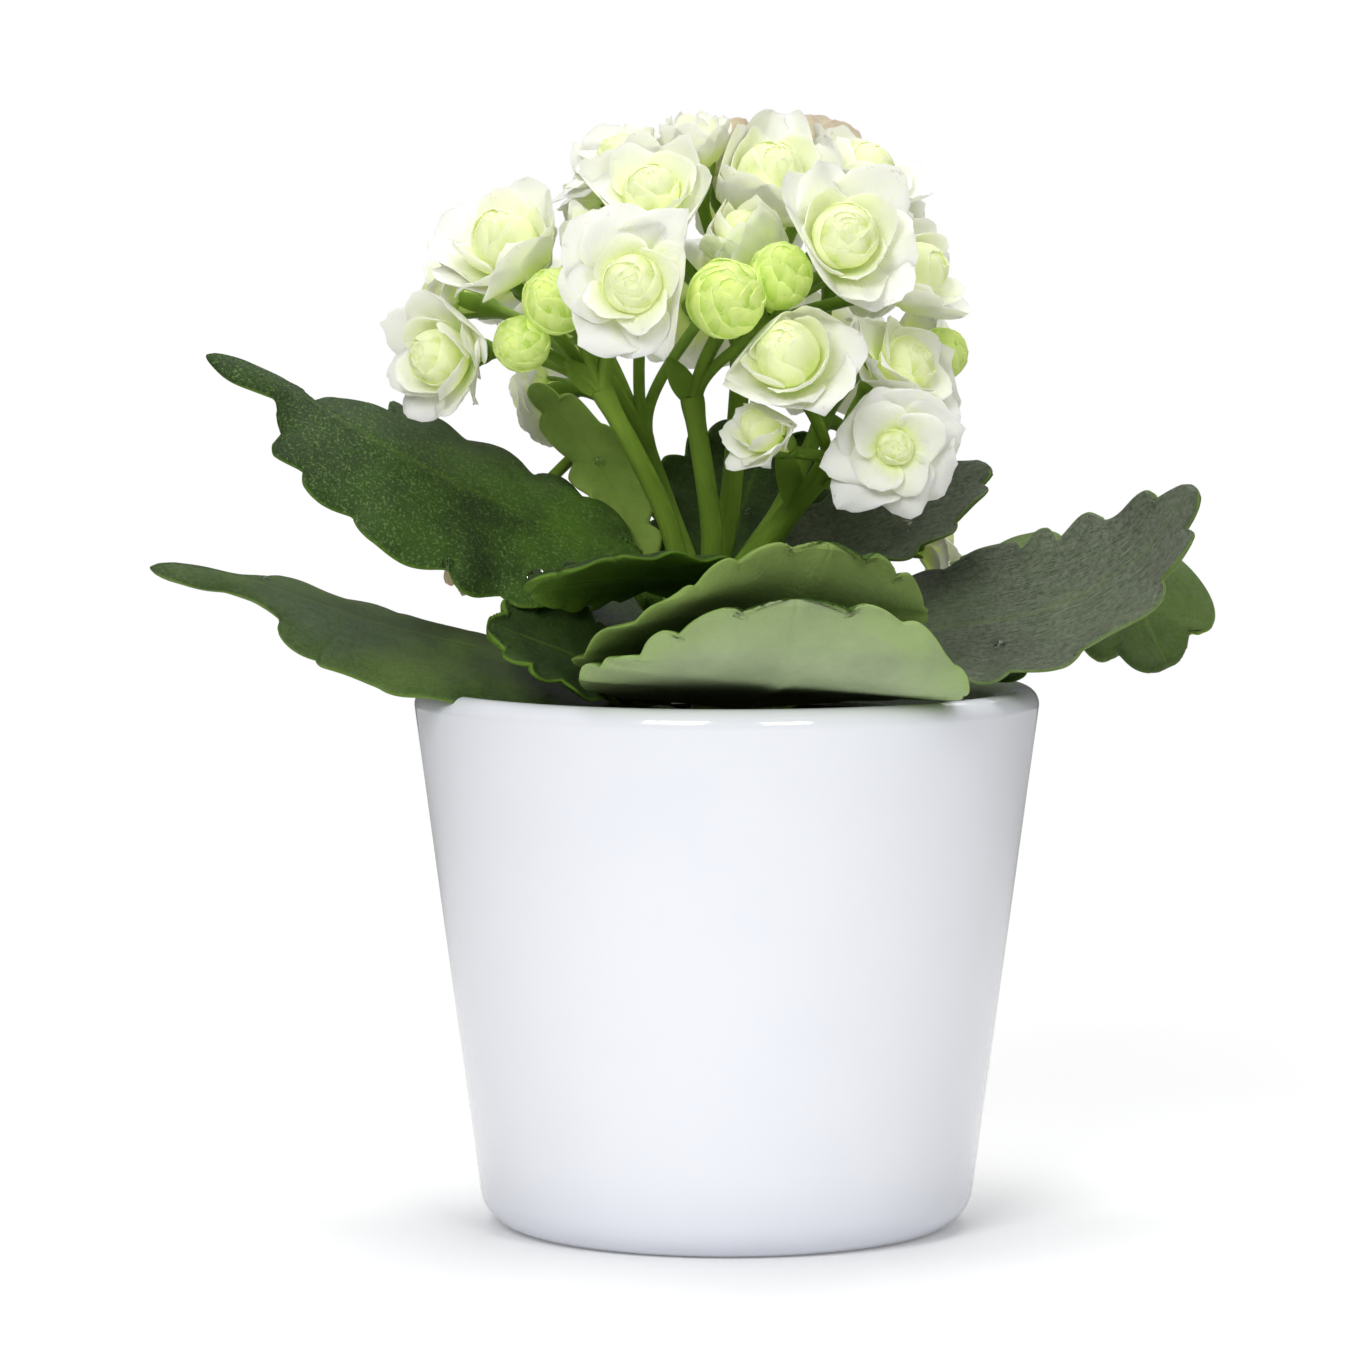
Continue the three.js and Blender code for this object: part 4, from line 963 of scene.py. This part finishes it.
bloomShape = {
    "tubeLength": 0.42,
    "tubeRadius": 1.5,
    "budLength": 1.2,
    "tubeTop": -0.06,
    "footSides": 16,
    "petalThickness": 0.36,
    "petalThinning": 0.3,  # towards the tip
    "petalRows": 15,
    "petalColumns": 13,
    "clearance": -0.5,  # open petals of neighbours may touch
    "sourceThickness": 0.65,  # of the source's petals
    "petalSoftness": 1.8,
    "budSoftness": 0.2,
    "crowdLift": 0.8,
    "headCentre": 0.3,
    "crowdReach": 3,
}

# The corolla of each kind, in shares of the radius: (distance from the axis, height) of the bends
# and tips of the outer and inner petals, and the heart's girth and top
corollas = {
    "open": dict(bends=[(0.6, 0.1), (0.46, 0.3)], tips=[(1.2, 0.2), (0.66, 0.6)], heart=(0.4, 0.72)),
    "cup": dict(bends=[(0.66, 0.18), (0.52, 0.36)], tips=[(1.15, 0.55), (0.6, 0.84)], heart=(0.45, 0.98)),
    "half": dict(bends=[(0.62, 0.28), (0.44, 0.5)], tips=[(0.92, 0.96), (0.5, 1.1)], heart=(0.36, 1.0)),
    "flat": dict(bends=[(0.56, 0.08), (0.42, 0.2)], tips=[(1.22, 0.02), (0.78, 0.34)], heart=(0.28, 0.46)),
    "faded": dict(bends=[(0.56, 0.22), (0.4, 0.44)], tips=[(0.96, 0.62), (0.54, 0.9)], heart=(0.34, 0.8)),
}


def flowerHead(name):
    at, faces, radius, kind = flowers[name]
    axis = heading(*faces)
    firm = kind == "bud"
    centre = np.array(at, float) + axis * (0 if firm else bloomShape["headCentre"] * radius)
    return dict(axis=axis, radius=radius, firm=firm, centre=centre)


flowerHeads = {name: flowerHead(name) for name in flowers}


def roomShare(own, other, apart):
    if own["firm"] and not other["firm"]:
        return own["radius"]
    share = apart - other["radius"]
    if own["firm"] == other["firm"]:
        share = apart * own["radius"] / (own["radius"] + other["radius"])
    return share - bloomShape["clearance"] / 2 - (0 if own["firm"] else bloomShape["sourceThickness"] / 2)


# Where neighbouring heads crowd, petals stop short of the plane between them and stand up
def bentClear(points, name):
    own = flowerHeads[name]
    soft = bloomShape["budSoftness"] if own["firm"] else bloomShape["petalSoftness"]
    points = points.copy()
    for lift in (bloomShape["crowdLift"], 0, 0, 0):
        for other in flowerHeads.values():
            towards = other["centre"] - own["centre"]
            apart = np.linalg.norm(towards)
            if other is own or apart > own["radius"] + other["radius"] + bloomShape["crowdReach"]:
                continue
            towards = towards / apart
            room = roomShare(own, other, apart) - (points - own["centre"]) @ towards
            push = np.where(room < soft, soft * np.exp(np.minimum(room / soft - 1, 0)) - room, 0)
            upright = own["axis"] - towards * np.dot(own["axis"], towards)
            points = points - push[..., None] * towards + lift * push[..., None] * upright
    return points


seeds = {name: 100 + number for number, name in enumerate(flowers)}  # as in the source


# The turn of each flower about its own axis, as in the source
def seededTurn(seed):
    state = (seed * 1664525 + 1013904223) % 2 ** 32
    return state / 2 ** 32 * 2 * math.pi


# Two directions across a flower and the way that it faces
def flowerAxes(name):
    forward = heading(*flowers[name][1])
    sideways = unit(np.cross([0, 0, 1], forward))
    upward = np.cross(forward, sideways)
    turn = seededTurn(seeds[name])
    first = sideways * math.cos(turn) + upward * math.sin(turn)
    second = upward * math.cos(turn) - sideways * math.sin(turn)
    return np.stack([first, second, forward])


# What brings points given in shares of a flower's radius to their place
def flowerPlacer(name):
    at, _, radius, _ = flowers[name]
    axes = flowerAxes(name)
    return lambda points: np.array(at) + (np.asarray(points) * radius) @ axes


# One open petal, in shares of its bloom's radius: a strip along its middle line, wrapped
# round the axis where it stands up, cupped, ruffled and drawn out to a small point
def petalGrid(plan, draw):
    rows, columns = bloomShape["petalRows"], bloomShape["petalColumns"]
    s = np.linspace(0, 1, rows)[:, None]
    w = np.sin(np.linspace(-1, 1, columns) * math.pi / 2 * 0.92) / math.sin(math.pi / 2 * 0.92)
    edge = np.abs(w)
    ragged = sum(draw.uniform(-1, 1) * np.sin(k * 2.3 * w + draw.uniform(0, 6)) for k in (2, 4, 7)) / 3
    t = s * (1 - plan["rounding"] * edge ** 2.4) + plan["point"] * s ** 5 * np.exp(-(w / 0.14) ** 2)
    t = t + 0.035 * ragged * s ** 4
    root, bend, tip = [np.array(plan[key]) for key in ("root", "bend", "tip")]
    control = 2 * bend - (root + tip) / 2
    t = t[..., None]
    line = root * (1 - t) ** 2 + control * 2 * t * (1 - t) + tip * t * t
    slope = unit((control - root) * (1 - t) + (tip - control) * t)
    wide = mix(plan["claw"], 1, np.sin(math.pi / 2 * np.minimum(1, s / 0.6)) ** 1.3)
    half = plan["width"] * wide * (1 - 0.26 * ease(s, 0.66, 1.02))
    curvature = plan["wrap"] * np.abs(slope[..., 1]) / np.maximum(line[..., 0], 0.14) + plan["cup"]
    swing = np.clip(w * half * curvature, -1.9, 1.9)
    lateral = np.sin(swing) / curvature
    lift = (1 - np.cos(swing)) / curvature
    phase = [draw.uniform(0, 2 * math.pi) for _ in range(3)]
    waves = 0.6 * np.sin(4.2 * w + phase[0]) * s ** 2 + 0.8 * edge ** 3 * np.sin(7 * s + phase[1])
    lift = lift + plan["ruffle"] * waves
    lift = lift + plan["lap"] * w * s - plan["curl"] * ease(s, 0.65, 1) ** 2 * (0.5 + edge)
    lift = lift + 0.02 * np.exp(-(w / 0.1) ** 2) * s
    out = line[..., 0] - slope[..., 1] * lift
    up = line[..., 1] + slope[..., 0] * lift
    cosine = math.cos(plan["angle"])
    sine = math.sin(plan["angle"])
    grid = joined(cosine * out - sine * lateral, sine * out + cosine * lateral, up)
    return grid, joined(s, w, plan["green"])


# One petal folded over a globe, pointed at its top
def lappedGrid(plan, draw):
    rows, columns = globeShape["rows"], globeShape["columns"]
    s = np.sin(np.linspace(0, math.pi / 2, rows))[:, None]  # closer towards the rounded tip
    w = np.linspace(-1, 1, columns)
    polar = mix(plan["bottom"], plan["top"], s - 0.05 * np.abs(w) ** 2 * s)
    taper = np.sin(math.pi * (0.22 + 0.78 * s)) ** 0.55
    reach = plan["reach"] * np.maximum(taper, 0.03) / np.maximum(np.sin(polar), 0.32)
    azimuth = plan["angle"] + w * np.minimum(reach, 1.5)
    swell = plan["girth"] * (1 + plan["lap"] * w * (1 - 0.5 * s) + 0.035 * ease(s, 0.7, 1) * plan["flare"])
    swell = swell + 0.008 * np.sin(5 * w + draw.uniform(0, 6))
    out = swell * np.sin(polar)
    up = plan["centre"] + plan["tall"] * swell * np.cos(polar)
    grid = joined(out * np.cos(azimuth), out * np.sin(azimuth), up)
    return grid, joined(s, w, plan["green"])


# rows of a globe: petals, bottom and top in degrees from its pole, girth
globeRows = {
    "bud": [
        (5, 165, 84, 1.0), (6, 140, 66, 0.985), (6, 118, 50, 0.97),
        (6, 98, 36, 0.95), (5, 76, 22, 0.93), (4, 54, 8, 0.91)],
    "tight": [(3, 155, 62, 1.0), (3, 125, 44, 0.97), (3, 95, 28, 0.93), (4, 70, 15, 0.89), (3, 45, 4, 0.85)],
    "egg": [(2, 165, 30, 1.0), (3, 150, 17, 0.975), (3, 110, 7, 0.95)],
}

globeShape = {
    "rows": 14,
    "columns": 11,
    "thinning": 0.85,  # of a petal towards its tip
    "coreSides": 24,
    "coreRings": 13,
    "coreDepth": 0.008,  # below the innermost row, in shares of the girth
}


# Folded petals over a closed core
def addGlobe(skin, name, style, centre, girth, tall, draw, green, thickness):
    place = flowerPlacer(name)
    start = draw.uniform(0, 2 * math.pi)
    turns = around(globeShape["coreSides"])
    inside = girth * (globeRows[style][-1][3] - globeShape["coreDepth"])
    high = inside * tall
    core = [
        circle(turns, inside * math.cos(latitude), centre + high * math.sin(latitude))
        for latitude in np.radians(np.linspace(-80, 80, globeShape["coreRings"]))]
    below, above = place([0, 0, centre - high]), place([0, 0, centre + high])
    skin.stack(below, bentClear(place(core), name), above, (0.62, 0, green))
    for row, (count, bottom, top, share) in enumerate(globeRows[style]):
        for k in range(count):
            plan = dict(
                angle=start + (k + 0.5 * (row % 2) + draw.uniform(-0.08, 0.08)) * 2 * math.pi / count,
                bottom=math.radians(bottom), top=math.radians(top + draw.uniform(-5, 5)),
                reach=math.pi / count * 1.18, girth=girth * share, lap=0.045, flare=draw.uniform(-0.3, 1.2),
                centre=centre, tall=tall, green=green)
            grid, tone = lappedGrid(plan, draw)
            addPetal(skin, name, grid, thickness, globeShape["thinning"], tone, tone, draw.random())


# A petal that is thinner towards its sides and its tip
def addPetal(skin, name, grid, thickness, thinning, outside, inside, chance):
    rows, columns = grid.shape[:2]
    s = np.linspace(0, 1, rows)[:, None]
    w = np.linspace(-1, 1, columns)
    grid = bentClear(flowerPlacer(name)(grid), name)
    skin.blade(grid, thickness * (1 - 0.5 * w ** 2) * (1 - thinning * s), outside, inside, chance)


# rows of open petals: turn in degrees, share of the way from the outer row to the inner one, shape
openRows = [
    dict(turn=45, inner=0, width=0.68, wrap=0.3, cup=0.1, ruffle=0.065, curl=0.06, green=0, stray=0.17),
    dict(turn=0, inner=0.24, width=0.6, wrap=0.35, cup=0.16, ruffle=0.06, curl=0.05, green=0.05, stray=0.15),
    dict(turn=24, inner=0.95, width=0.5, wrap=0.8, cup=0.3, ruffle=0.03, curl=0.02, green=0.2, stray=0.07),
]


def makeBloom(name):
    draw = random.Random(seeds[name])
    place = flowerPlacer(name)
    _, _, radius, kind = flowers[name]
    faded = kind == "faded"
    corolla = corollas[kind]
    thickness, thinning = bloomShape["petalThickness"], bloomShape["petalThinning"]
    tube = bloomShape["tubeRadius"] / radius
    low, high = -bloomShape["tubeLength"], bloomShape["tubeTop"]
    foot = between([(0.96 * tube, low), (1.12 * tube, high)], np.linspace(0, 1, 5))
    rings = [circle(around(bloomShape["footSides"]), *ring) for ring in foot]
    skin = Skin()
    skin.stack(place([0, 0, low]), bentClear(place(rings), name), place([0, 0, high]), (0, 0, 0.9))
    for row in openRows:
        bend, tip = [mix(*np.array(corolla[key]), row["inner"]) for key in ("bends", "tips")]
        for k in range(4):
            plan = dict(row)
            plan.update(
                angle=math.radians(row["turn"] + 90 * k + draw.uniform(-12, 12)),
                root=(0.9 * tube, -0.1 + 0.08 * row["inner"]), bend=bend,
                tip=tip * [draw.uniform(0.9, 1.12), 1] + [0, draw.uniform(-0.7, 1) * row["stray"]],
                width=row["width"] * draw.uniform(0.84, 1.12), lap=draw.uniform(0.04, 0.14),
                rounding=draw.uniform(0.15, 0.28), point=draw.uniform(0.0, 0.05), claw=0.34,
                ruffle=row["ruffle"] * (2 if faded else 1))
            grid, tone = petalGrid(plan, draw)
            outside = tone + [0, 0, 1] * (1.5 * (1 - tone[..., :1]) ** 1.6)
            addPetal(skin, name, grid, thickness, thinning, outside, tone, draw.random())
    girth, top = corolla["heart"]
    style = "egg" if kind == "cup" and draw.random() < 0.75 else "tight"
    tall = 1.15 if style == "egg" else 1.0
    addGlobe(skin, name, style, top - girth * tall, girth, tall, draw, 0.85, 0.34)
    slot = "faded_petal" if faded else "petal"
    skin.piece(name.replace("bloom_", "doubleBloom_"), fadedPetals if faded else whitePetals, slot, name)


def makeBud(name):
    draw = random.Random(seeds[name])
    place = flowerPlacer(name)
    tube = bloomShape["tubeRadius"] / flowers[name][2]
    low, high = -bloomShape["budLength"], -0.6
    foot = [(tube, low), (tube * 1.1, -0.95), (0.5, -0.7)]
    rings = [circle(around(bloomShape["footSides"]), *ring) for ring in foot]
    skin = Skin()
    skin.stack(place([0, 0, low]), place(rings), place([0, 0, high]), (0, 0, 1.0))
    addGlobe(skin, name, "bud", 0.02, 0.96, 1.1, draw, 0.95, 0.4)
    skin.piece(name.replace("bud_", "foldedBud_"), budPetals, "bud", name)


petalLooks = {
    "whitePetals": dict(
        tip=(246, 246, 236), base=(224, 240, 142), heart=(244, 251, 188),
        root=(160, 200, 68), rim=(252, 251, 243), browned=0.42),
    "fadedPetals": dict(
        tip=(224, 210, 192), base=(206, 206, 154), heart=(222, 222, 164),
        root=(168, 186, 96), rim=(206, 180, 158), browned=0.9),
    "budPetals": dict(
        tip=(238, 248, 184), base=(188, 222, 88), heart=(226, 243, 138),
        root=(140, 186, 54), rim=(240, 249, 190), browned=0.04),
}
driedSpots = (178, 128, 96)


def petalMaterial(name):
    look = petalLooks[name]
    material, wire = newMaterial(name)
    s, w, green = wire.tone()
    chance = wire.chance()
    place = wire.place()
    edge = abs(w)
    cloud = wire.noise(place, 240, 3)
    veins = wire.noise(wire.vector(s * 1.6, w * 16, chance * 30), 2.2, 3, 0.55)
    base = s.ramp(0.76, 0.0) ** 1.35
    deep = (green * (1.02 - s * 0.35) + base * (0.8 + green * 0.4) + (cloud - 0.5) * 0.4).clamp()
    colour = deep.colours(look["tip"], look["base"])
    hearty = (green * 1.4 - 0.5).clamp() * s.ramp(0.1, 0.7)
    colour = hearty.colours(colour, look["heart"])
    colour = (green - 0.95).ramp(0, 0.5).colours(colour, look["root"])
    rim = (edge.ramp(0.78, 1.0) + s.ramp(0.9, 1.0)).clamp() * (0.7 - green * 0.36)
    colour = rim.colours(colour, look["rim"])
    colour = (veins.ramp(0.48, 0.72) * 0.2).colours(colour, look["base"])
    blot = wire.noise(place, 700, 5, 0.7).ramp(0.58, 0.72) * (s.ramp(0.78, 1.0) + edge.ramp(0.9, 1.0) * 0.5)
    colour = (blot * look["browned"]).clamp().colours(colour, driedSpots)
    relief = veins * s.ramp(0.85, 0.6) * 0.8 + cloud * 0.4 + wire.noise(place, 2600, 2) * 0.12
    wire.surface({
        "Base Color": colour, "Roughness": cloud * 0.16 + 0.42,
        "Normal": wire.bump(relief, 0.00024, 0.6),
        "Subsurface Weight": 0.42, "Subsurface Scale": 0.0013, "Subsurface Radius": (1.0, 1.0, 0.55),
        # painted glow: the petals give off a little light in their own colour, faint on white petals and
        # strongest in the green hearts and buds, to lift their shaded creases as if lit through
        "Specular IOR Level": 0.2, "Emission Strength": 0.13,
        "Emission Color": (green * 0.7 + 0.35).clamp().colours((0, 0, 0), colour),
    })
    return material


whitePetals = petalMaterial("whitePetals")
fadedPetals = petalMaterial("fadedPetals")
budPetals = petalMaterial("budPetals")
for flowerName, flower in flowers.items():
    if flower[3] == "bud":
        makeBud(flowerName)
    else:
        makeBloom(flowerName)
print("flowers made")


# Flower stalks: from the crown to a fork, then a footstalk with a calyx for each flower

stalks = {
    "flower_stalk_left": dict(foot=(-4.2, -2.6), via=(-8, -7, 92), fork=(-16, -12, 108), thick=1.7),
    "flower_stalk_front": dict(foot=(-0.6, -4), via=(-2, -8, 90), fork=(-4.5, -11, 107), thick=1.8),
    "flower_stalk_middle": dict(foot=(0.2, 1.2), via=(0.3, -0.5, 92), fork=(2, 0, 113), thick=1.8),
    "flower_stalk_right": dict(foot=(2.6, -1.6), via=(5.5, -7.5, 89), fork=(13, -13, 98.5), thick=1.9),
    "flower_stalk_back_left": dict(foot=(-2.8, 3.4), via=(-7, 7, 91), fork=(-11, 10, 102), thick=1.4),
    "flower_stalk_back_right": dict(foot=(2.8, 3.6), via=(7, 8, 92), fork=(13, 12, 104), thick=1.5),
}

stalkShape = {
    "sides": 18,
    "footstalkSides": 12,
    "rise": 3,
    "taper": 0.85,
    "slim": 0.8,
    "bloomGirth": 0.78,
    "budGirth": 0.68,
    "rootDepth": 1.5,
    "ease": 0.3,
    "lean": 0.8,
    "sepalLength": 4.6,
    "sepalWidth": 2.3,
    "fresh": (150, 182, 70),
    "deep": (100, 134, 40),
}

# small bracts: the stalk each grows on, root, tip and width
bracts = [
    ("flower_stalk_right", (8.6, -10.4, 93), (6.6, -15, 102.4), 3.4),
    ("flower_stalk_right", (4.2, -5.6, 85.5), (9.6, -11.5, 94.4), 3),
    ("flower_stalk_left", (-16, -12, 107.5), (-20.5, -15, 111.5), 3.2),
    ("flower_stalk_front", (-4.5, -11, 106.5), (-7.5, -16, 112), 3.2),
]

# a flower bud that is still closed in its calyx, on a footstalk of its own
tinyBud = {
    "owner": "flower_stalk_right",
    "root": (14, -14.6, 97),
    "tip": (15, -17.4, 101.6),
    "girth": 1.5,
    "sepalWidth": 2.1,
    "footstalk": [(12.6, -13, 95.6), (13.2, -13.8, 96.4)],
    "footstalkGirths": (0.75, 0.7, 0.8),
}


def addTinyBud(skin):
    p = tinyBud
    root, tip = np.array(p["root"], float), np.array(p["tip"], float)
    along = unit(tip - root)
    first = unit(np.cross(along, [0, 1, 0]))
    shares = np.linspace(0, 1, 12)
    girths = p["girth"] * np.sin(math.pi * (0.06 + 0.84 * shares)) ** 0.8
    skin.tube(root + (tip - root) * shares[:, None], [along] * len(shares), girths, 14)
    addCalyx(skin, root, tip, first, np.cross(along, first), 0.5, 0.7, p["sepalWidth"], p["girth"] * 0.8)
    skin.tube([*p["footstalk"], root + along * 0.4], [along] * 3, p["footstalkGirths"], 10)


def flowerFoot(name):
    at, faces, radius, kind = flowers[name]
    depth = bloomShape["budLength"] if kind == "bud" else bloomShape["tubeLength"]
    return np.array(at) - heading(*faces) * (depth * radius + leafShape["gap"])


def nearestStalk(point):
    return min(stalks, key=lambda name: np.linalg.norm(np.array(stalks[name]["fork"]) - point))


def pointedBlade(skin, root, tip, width, bulge, thickness, rows=9, columns=7):
    root, tip, bulge = [np.array(p, float) for p in (root, tip, bulge)]
    s = np.linspace(0, 1, rows)[:, None]
    w = np.linspace(-1, 1, columns)
    along = tip - root
    outline = np.maximum(np.sin(math.pi * (0.18 + 0.82 * s ** 0.9)) ** 0.8, 0.04)
    side = unit(np.cross(along, bulge))
    middle = root + along * s + bulge * np.sin(math.pi * s)
    grid = middle[:, None] + side * (width / 2 * outline * w)[..., None]
    grid = grid - unit(bulge) * (0.12 * width * outline * w ** 2)[..., None]
    tone = joined(s, w, 0)
    skin.blade(grid, thickness * (1 - 0.6 * w ** 2 + 0 * s), tone, tone)


def addCalyx(skin, foot, top, first, second, near, far, width, bulge):
    for out in spokes(around(4), first, second):
        pointedBlade(skin, foot + out * near, top + out * far, width, out * bulge, 0.5)


def addFootstalk(skin, fork, upwards, name):
    p = stalkShape
    _, _, radius, kind = flowers[name]
    first, second, facing = flowerAxes(name)
    end = flowerFoot(name)
    reach = np.linalg.norm(end - fork)
    leaving = unit(upwards + unit(end - fork) * p["lean"]) * p["ease"] * reach
    line = bezierLine(fork - upwards * p["rootDepth"], fork + leaving, end - facing * p["ease"] * reach, end)
    shares = np.linspace(0, 1, 26)
    slim = p["budGirth"] if kind == "bud" else p["bloomGirth"]
    radii = mix(slim, bloomShape["tubeRadius"] + 0.2, ease(shares, 0.84, 1) ** 1.5)
    radii = radii + 0.35 * np.exp(-(shares / 0.12) ** 2)
    skin.tube(*placesAlong(line, shares), radii, p["footstalkSides"], 0.04)
    top = end + facing * p["sepalLength"] * (radius / 8) ** 0.5
    far = bloomShape["tubeRadius"] + (1.25 if kind == "bud" else 0.75)
    addCalyx(skin, end - facing * 0.7, top, first, second, 0.9, far, p["sepalWidth"], 0.35)


def makeStalk(name, plan, finish):
    p = stalkShape
    crown = np.array([mainStem["x"], mainStem["y"], mainStem["crownTop"] + 0.3]) + [*plan["foot"], 0]
    via, fork = np.array(plan["via"], float), np.array(plan["fork"], float)
    shares = np.linspace(0, 1, 44)
    line = lineThrough([crown, crown + [0, 0, p["rise"]], via, fork])
    radii = p["slim"] * plan["thick"] * mix(1, p["taper"], shares) + 0.3 * np.exp(-(shares / 0.05) ** 2)
    radii = radii + 0.3 * np.exp(-((shares - 0.97) / 0.07) ** 2)
    skin = Skin()
    skin.tube(*placesAlong(line, shares), radii, p["sides"], 0.05)
    for flowerName in flowers:
        if nearestStalk(flowerFoot(flowerName)) == name:
            addFootstalk(skin, fork, unit(fork - via), flowerName)
    for owner, root, tip, width in bracts:
        if owner == name:
            bulge = unit(np.cross(np.array(tip) - np.array(root), [1, 0.3, 0])) * 0.6
            pointedBlade(skin, root, tip, width, bulge, 0.9, 15, 9)
    if name == tinyBud["owner"]:
        addTinyBud(skin)
    skin.piece(name.replace("flower_stalk_", "greenStalk_"), finish, "stem", name)


stalkFinish = stemMaterial("freshStalk", stalkShape["fresh"], stalkShape["deep"])
for stalkName, stalkPlan in stalks.items():
    makeStalk(stalkName, stalkPlan, stalkFinish)
print("stalks made")


# Water droplets: leaf, share of its length, share across it, and radius

droplets = [
    ("leaf_young_left", 0.62, 0.1, 0.75),
    ("leaf_front_left", 0.86, -0.3, 0.9),
    ("leaf_front_left", 0.95, 0.1, 1.1),
    ("leaf_right_low", 0.78, -0.35, 1.0),
    ("leaf_upper_right", 0.62, 0.35, 1.5),
    ("leaf_upper_right", 0.5, 0.6, 0.9),
    ("leaf_right", 0.5, 0.4, 0.8),
    ("leaf_right", 0.36, 0.2, 0.6),
    ("leaf_right", 0.3, -0.3, 0.9),
    ("leaf_lower_left", 0.8, 0.3, 0.55),
    ("leaf_upper_left", 0.45, -0.9, 0.8),
    ("leaf_upper_left", 0.3, -0.85, 0.7),
    ("leaf_back_left", 0.55, 0.2, 0.9),
    ("leaf_back_right", 0.7, -0.3, 1.0),
    ("leaf_upper_back", 0.55, 0.1, 0.8),
]

dropletShape = {
    "sides": 20,
    "height": 0.62,  # in shares of the radius
    "rise": 0.28,
    "sunk": 0.16,
}


def waterMaterial():
    material, wire = newMaterial("clearWater")
    ripple = wire.noise(wire.place(), 800, 2)
    wire.surface({
        "Base Color": (1, 1, 1, 1), "Roughness": 0.02, "IOR": 1.33, "Transmission Weight": 1.0,
        "Normal": wire.bump(ripple, 0.00005, 0.2),
    })
    return material


def makeDroplets():
    p = dropletShape
    skin = Skin()
    for leafName, u, v, radius in droplets:
        grid, thickness = leafSheets[leafName]
        row = int(np.searchsorted(leafStations, u))
        column = int((math.asin(v) / math.pi + 0.5) * (grid.shape[1] - 1))
        lift = bladeLift(grid, thickness)[row, column]
        normal = unit(lift)
        foot = grid[row, column] + lift
        side = unit(np.cross(normal, [0.2, 0.9, 0.4]))
        outwards = spokes(around(p["sides"]), side, np.cross(normal, side))
        height = normal * radius * p["height"]
        rings = []
        for angle in np.radians(np.linspace(-30, 78, 9)):
            rings.append(foot + outwards * radius * math.cos(angle) + height * (math.sin(angle) + p["rise"]))
        skin.stack(foot - normal * p["sunk"], rings, foot + height * (1 + p["rise"]))
    skin.piece("waterDroplets", waterMaterial(), "leaf")


makeDroplets()
print("droplets made")
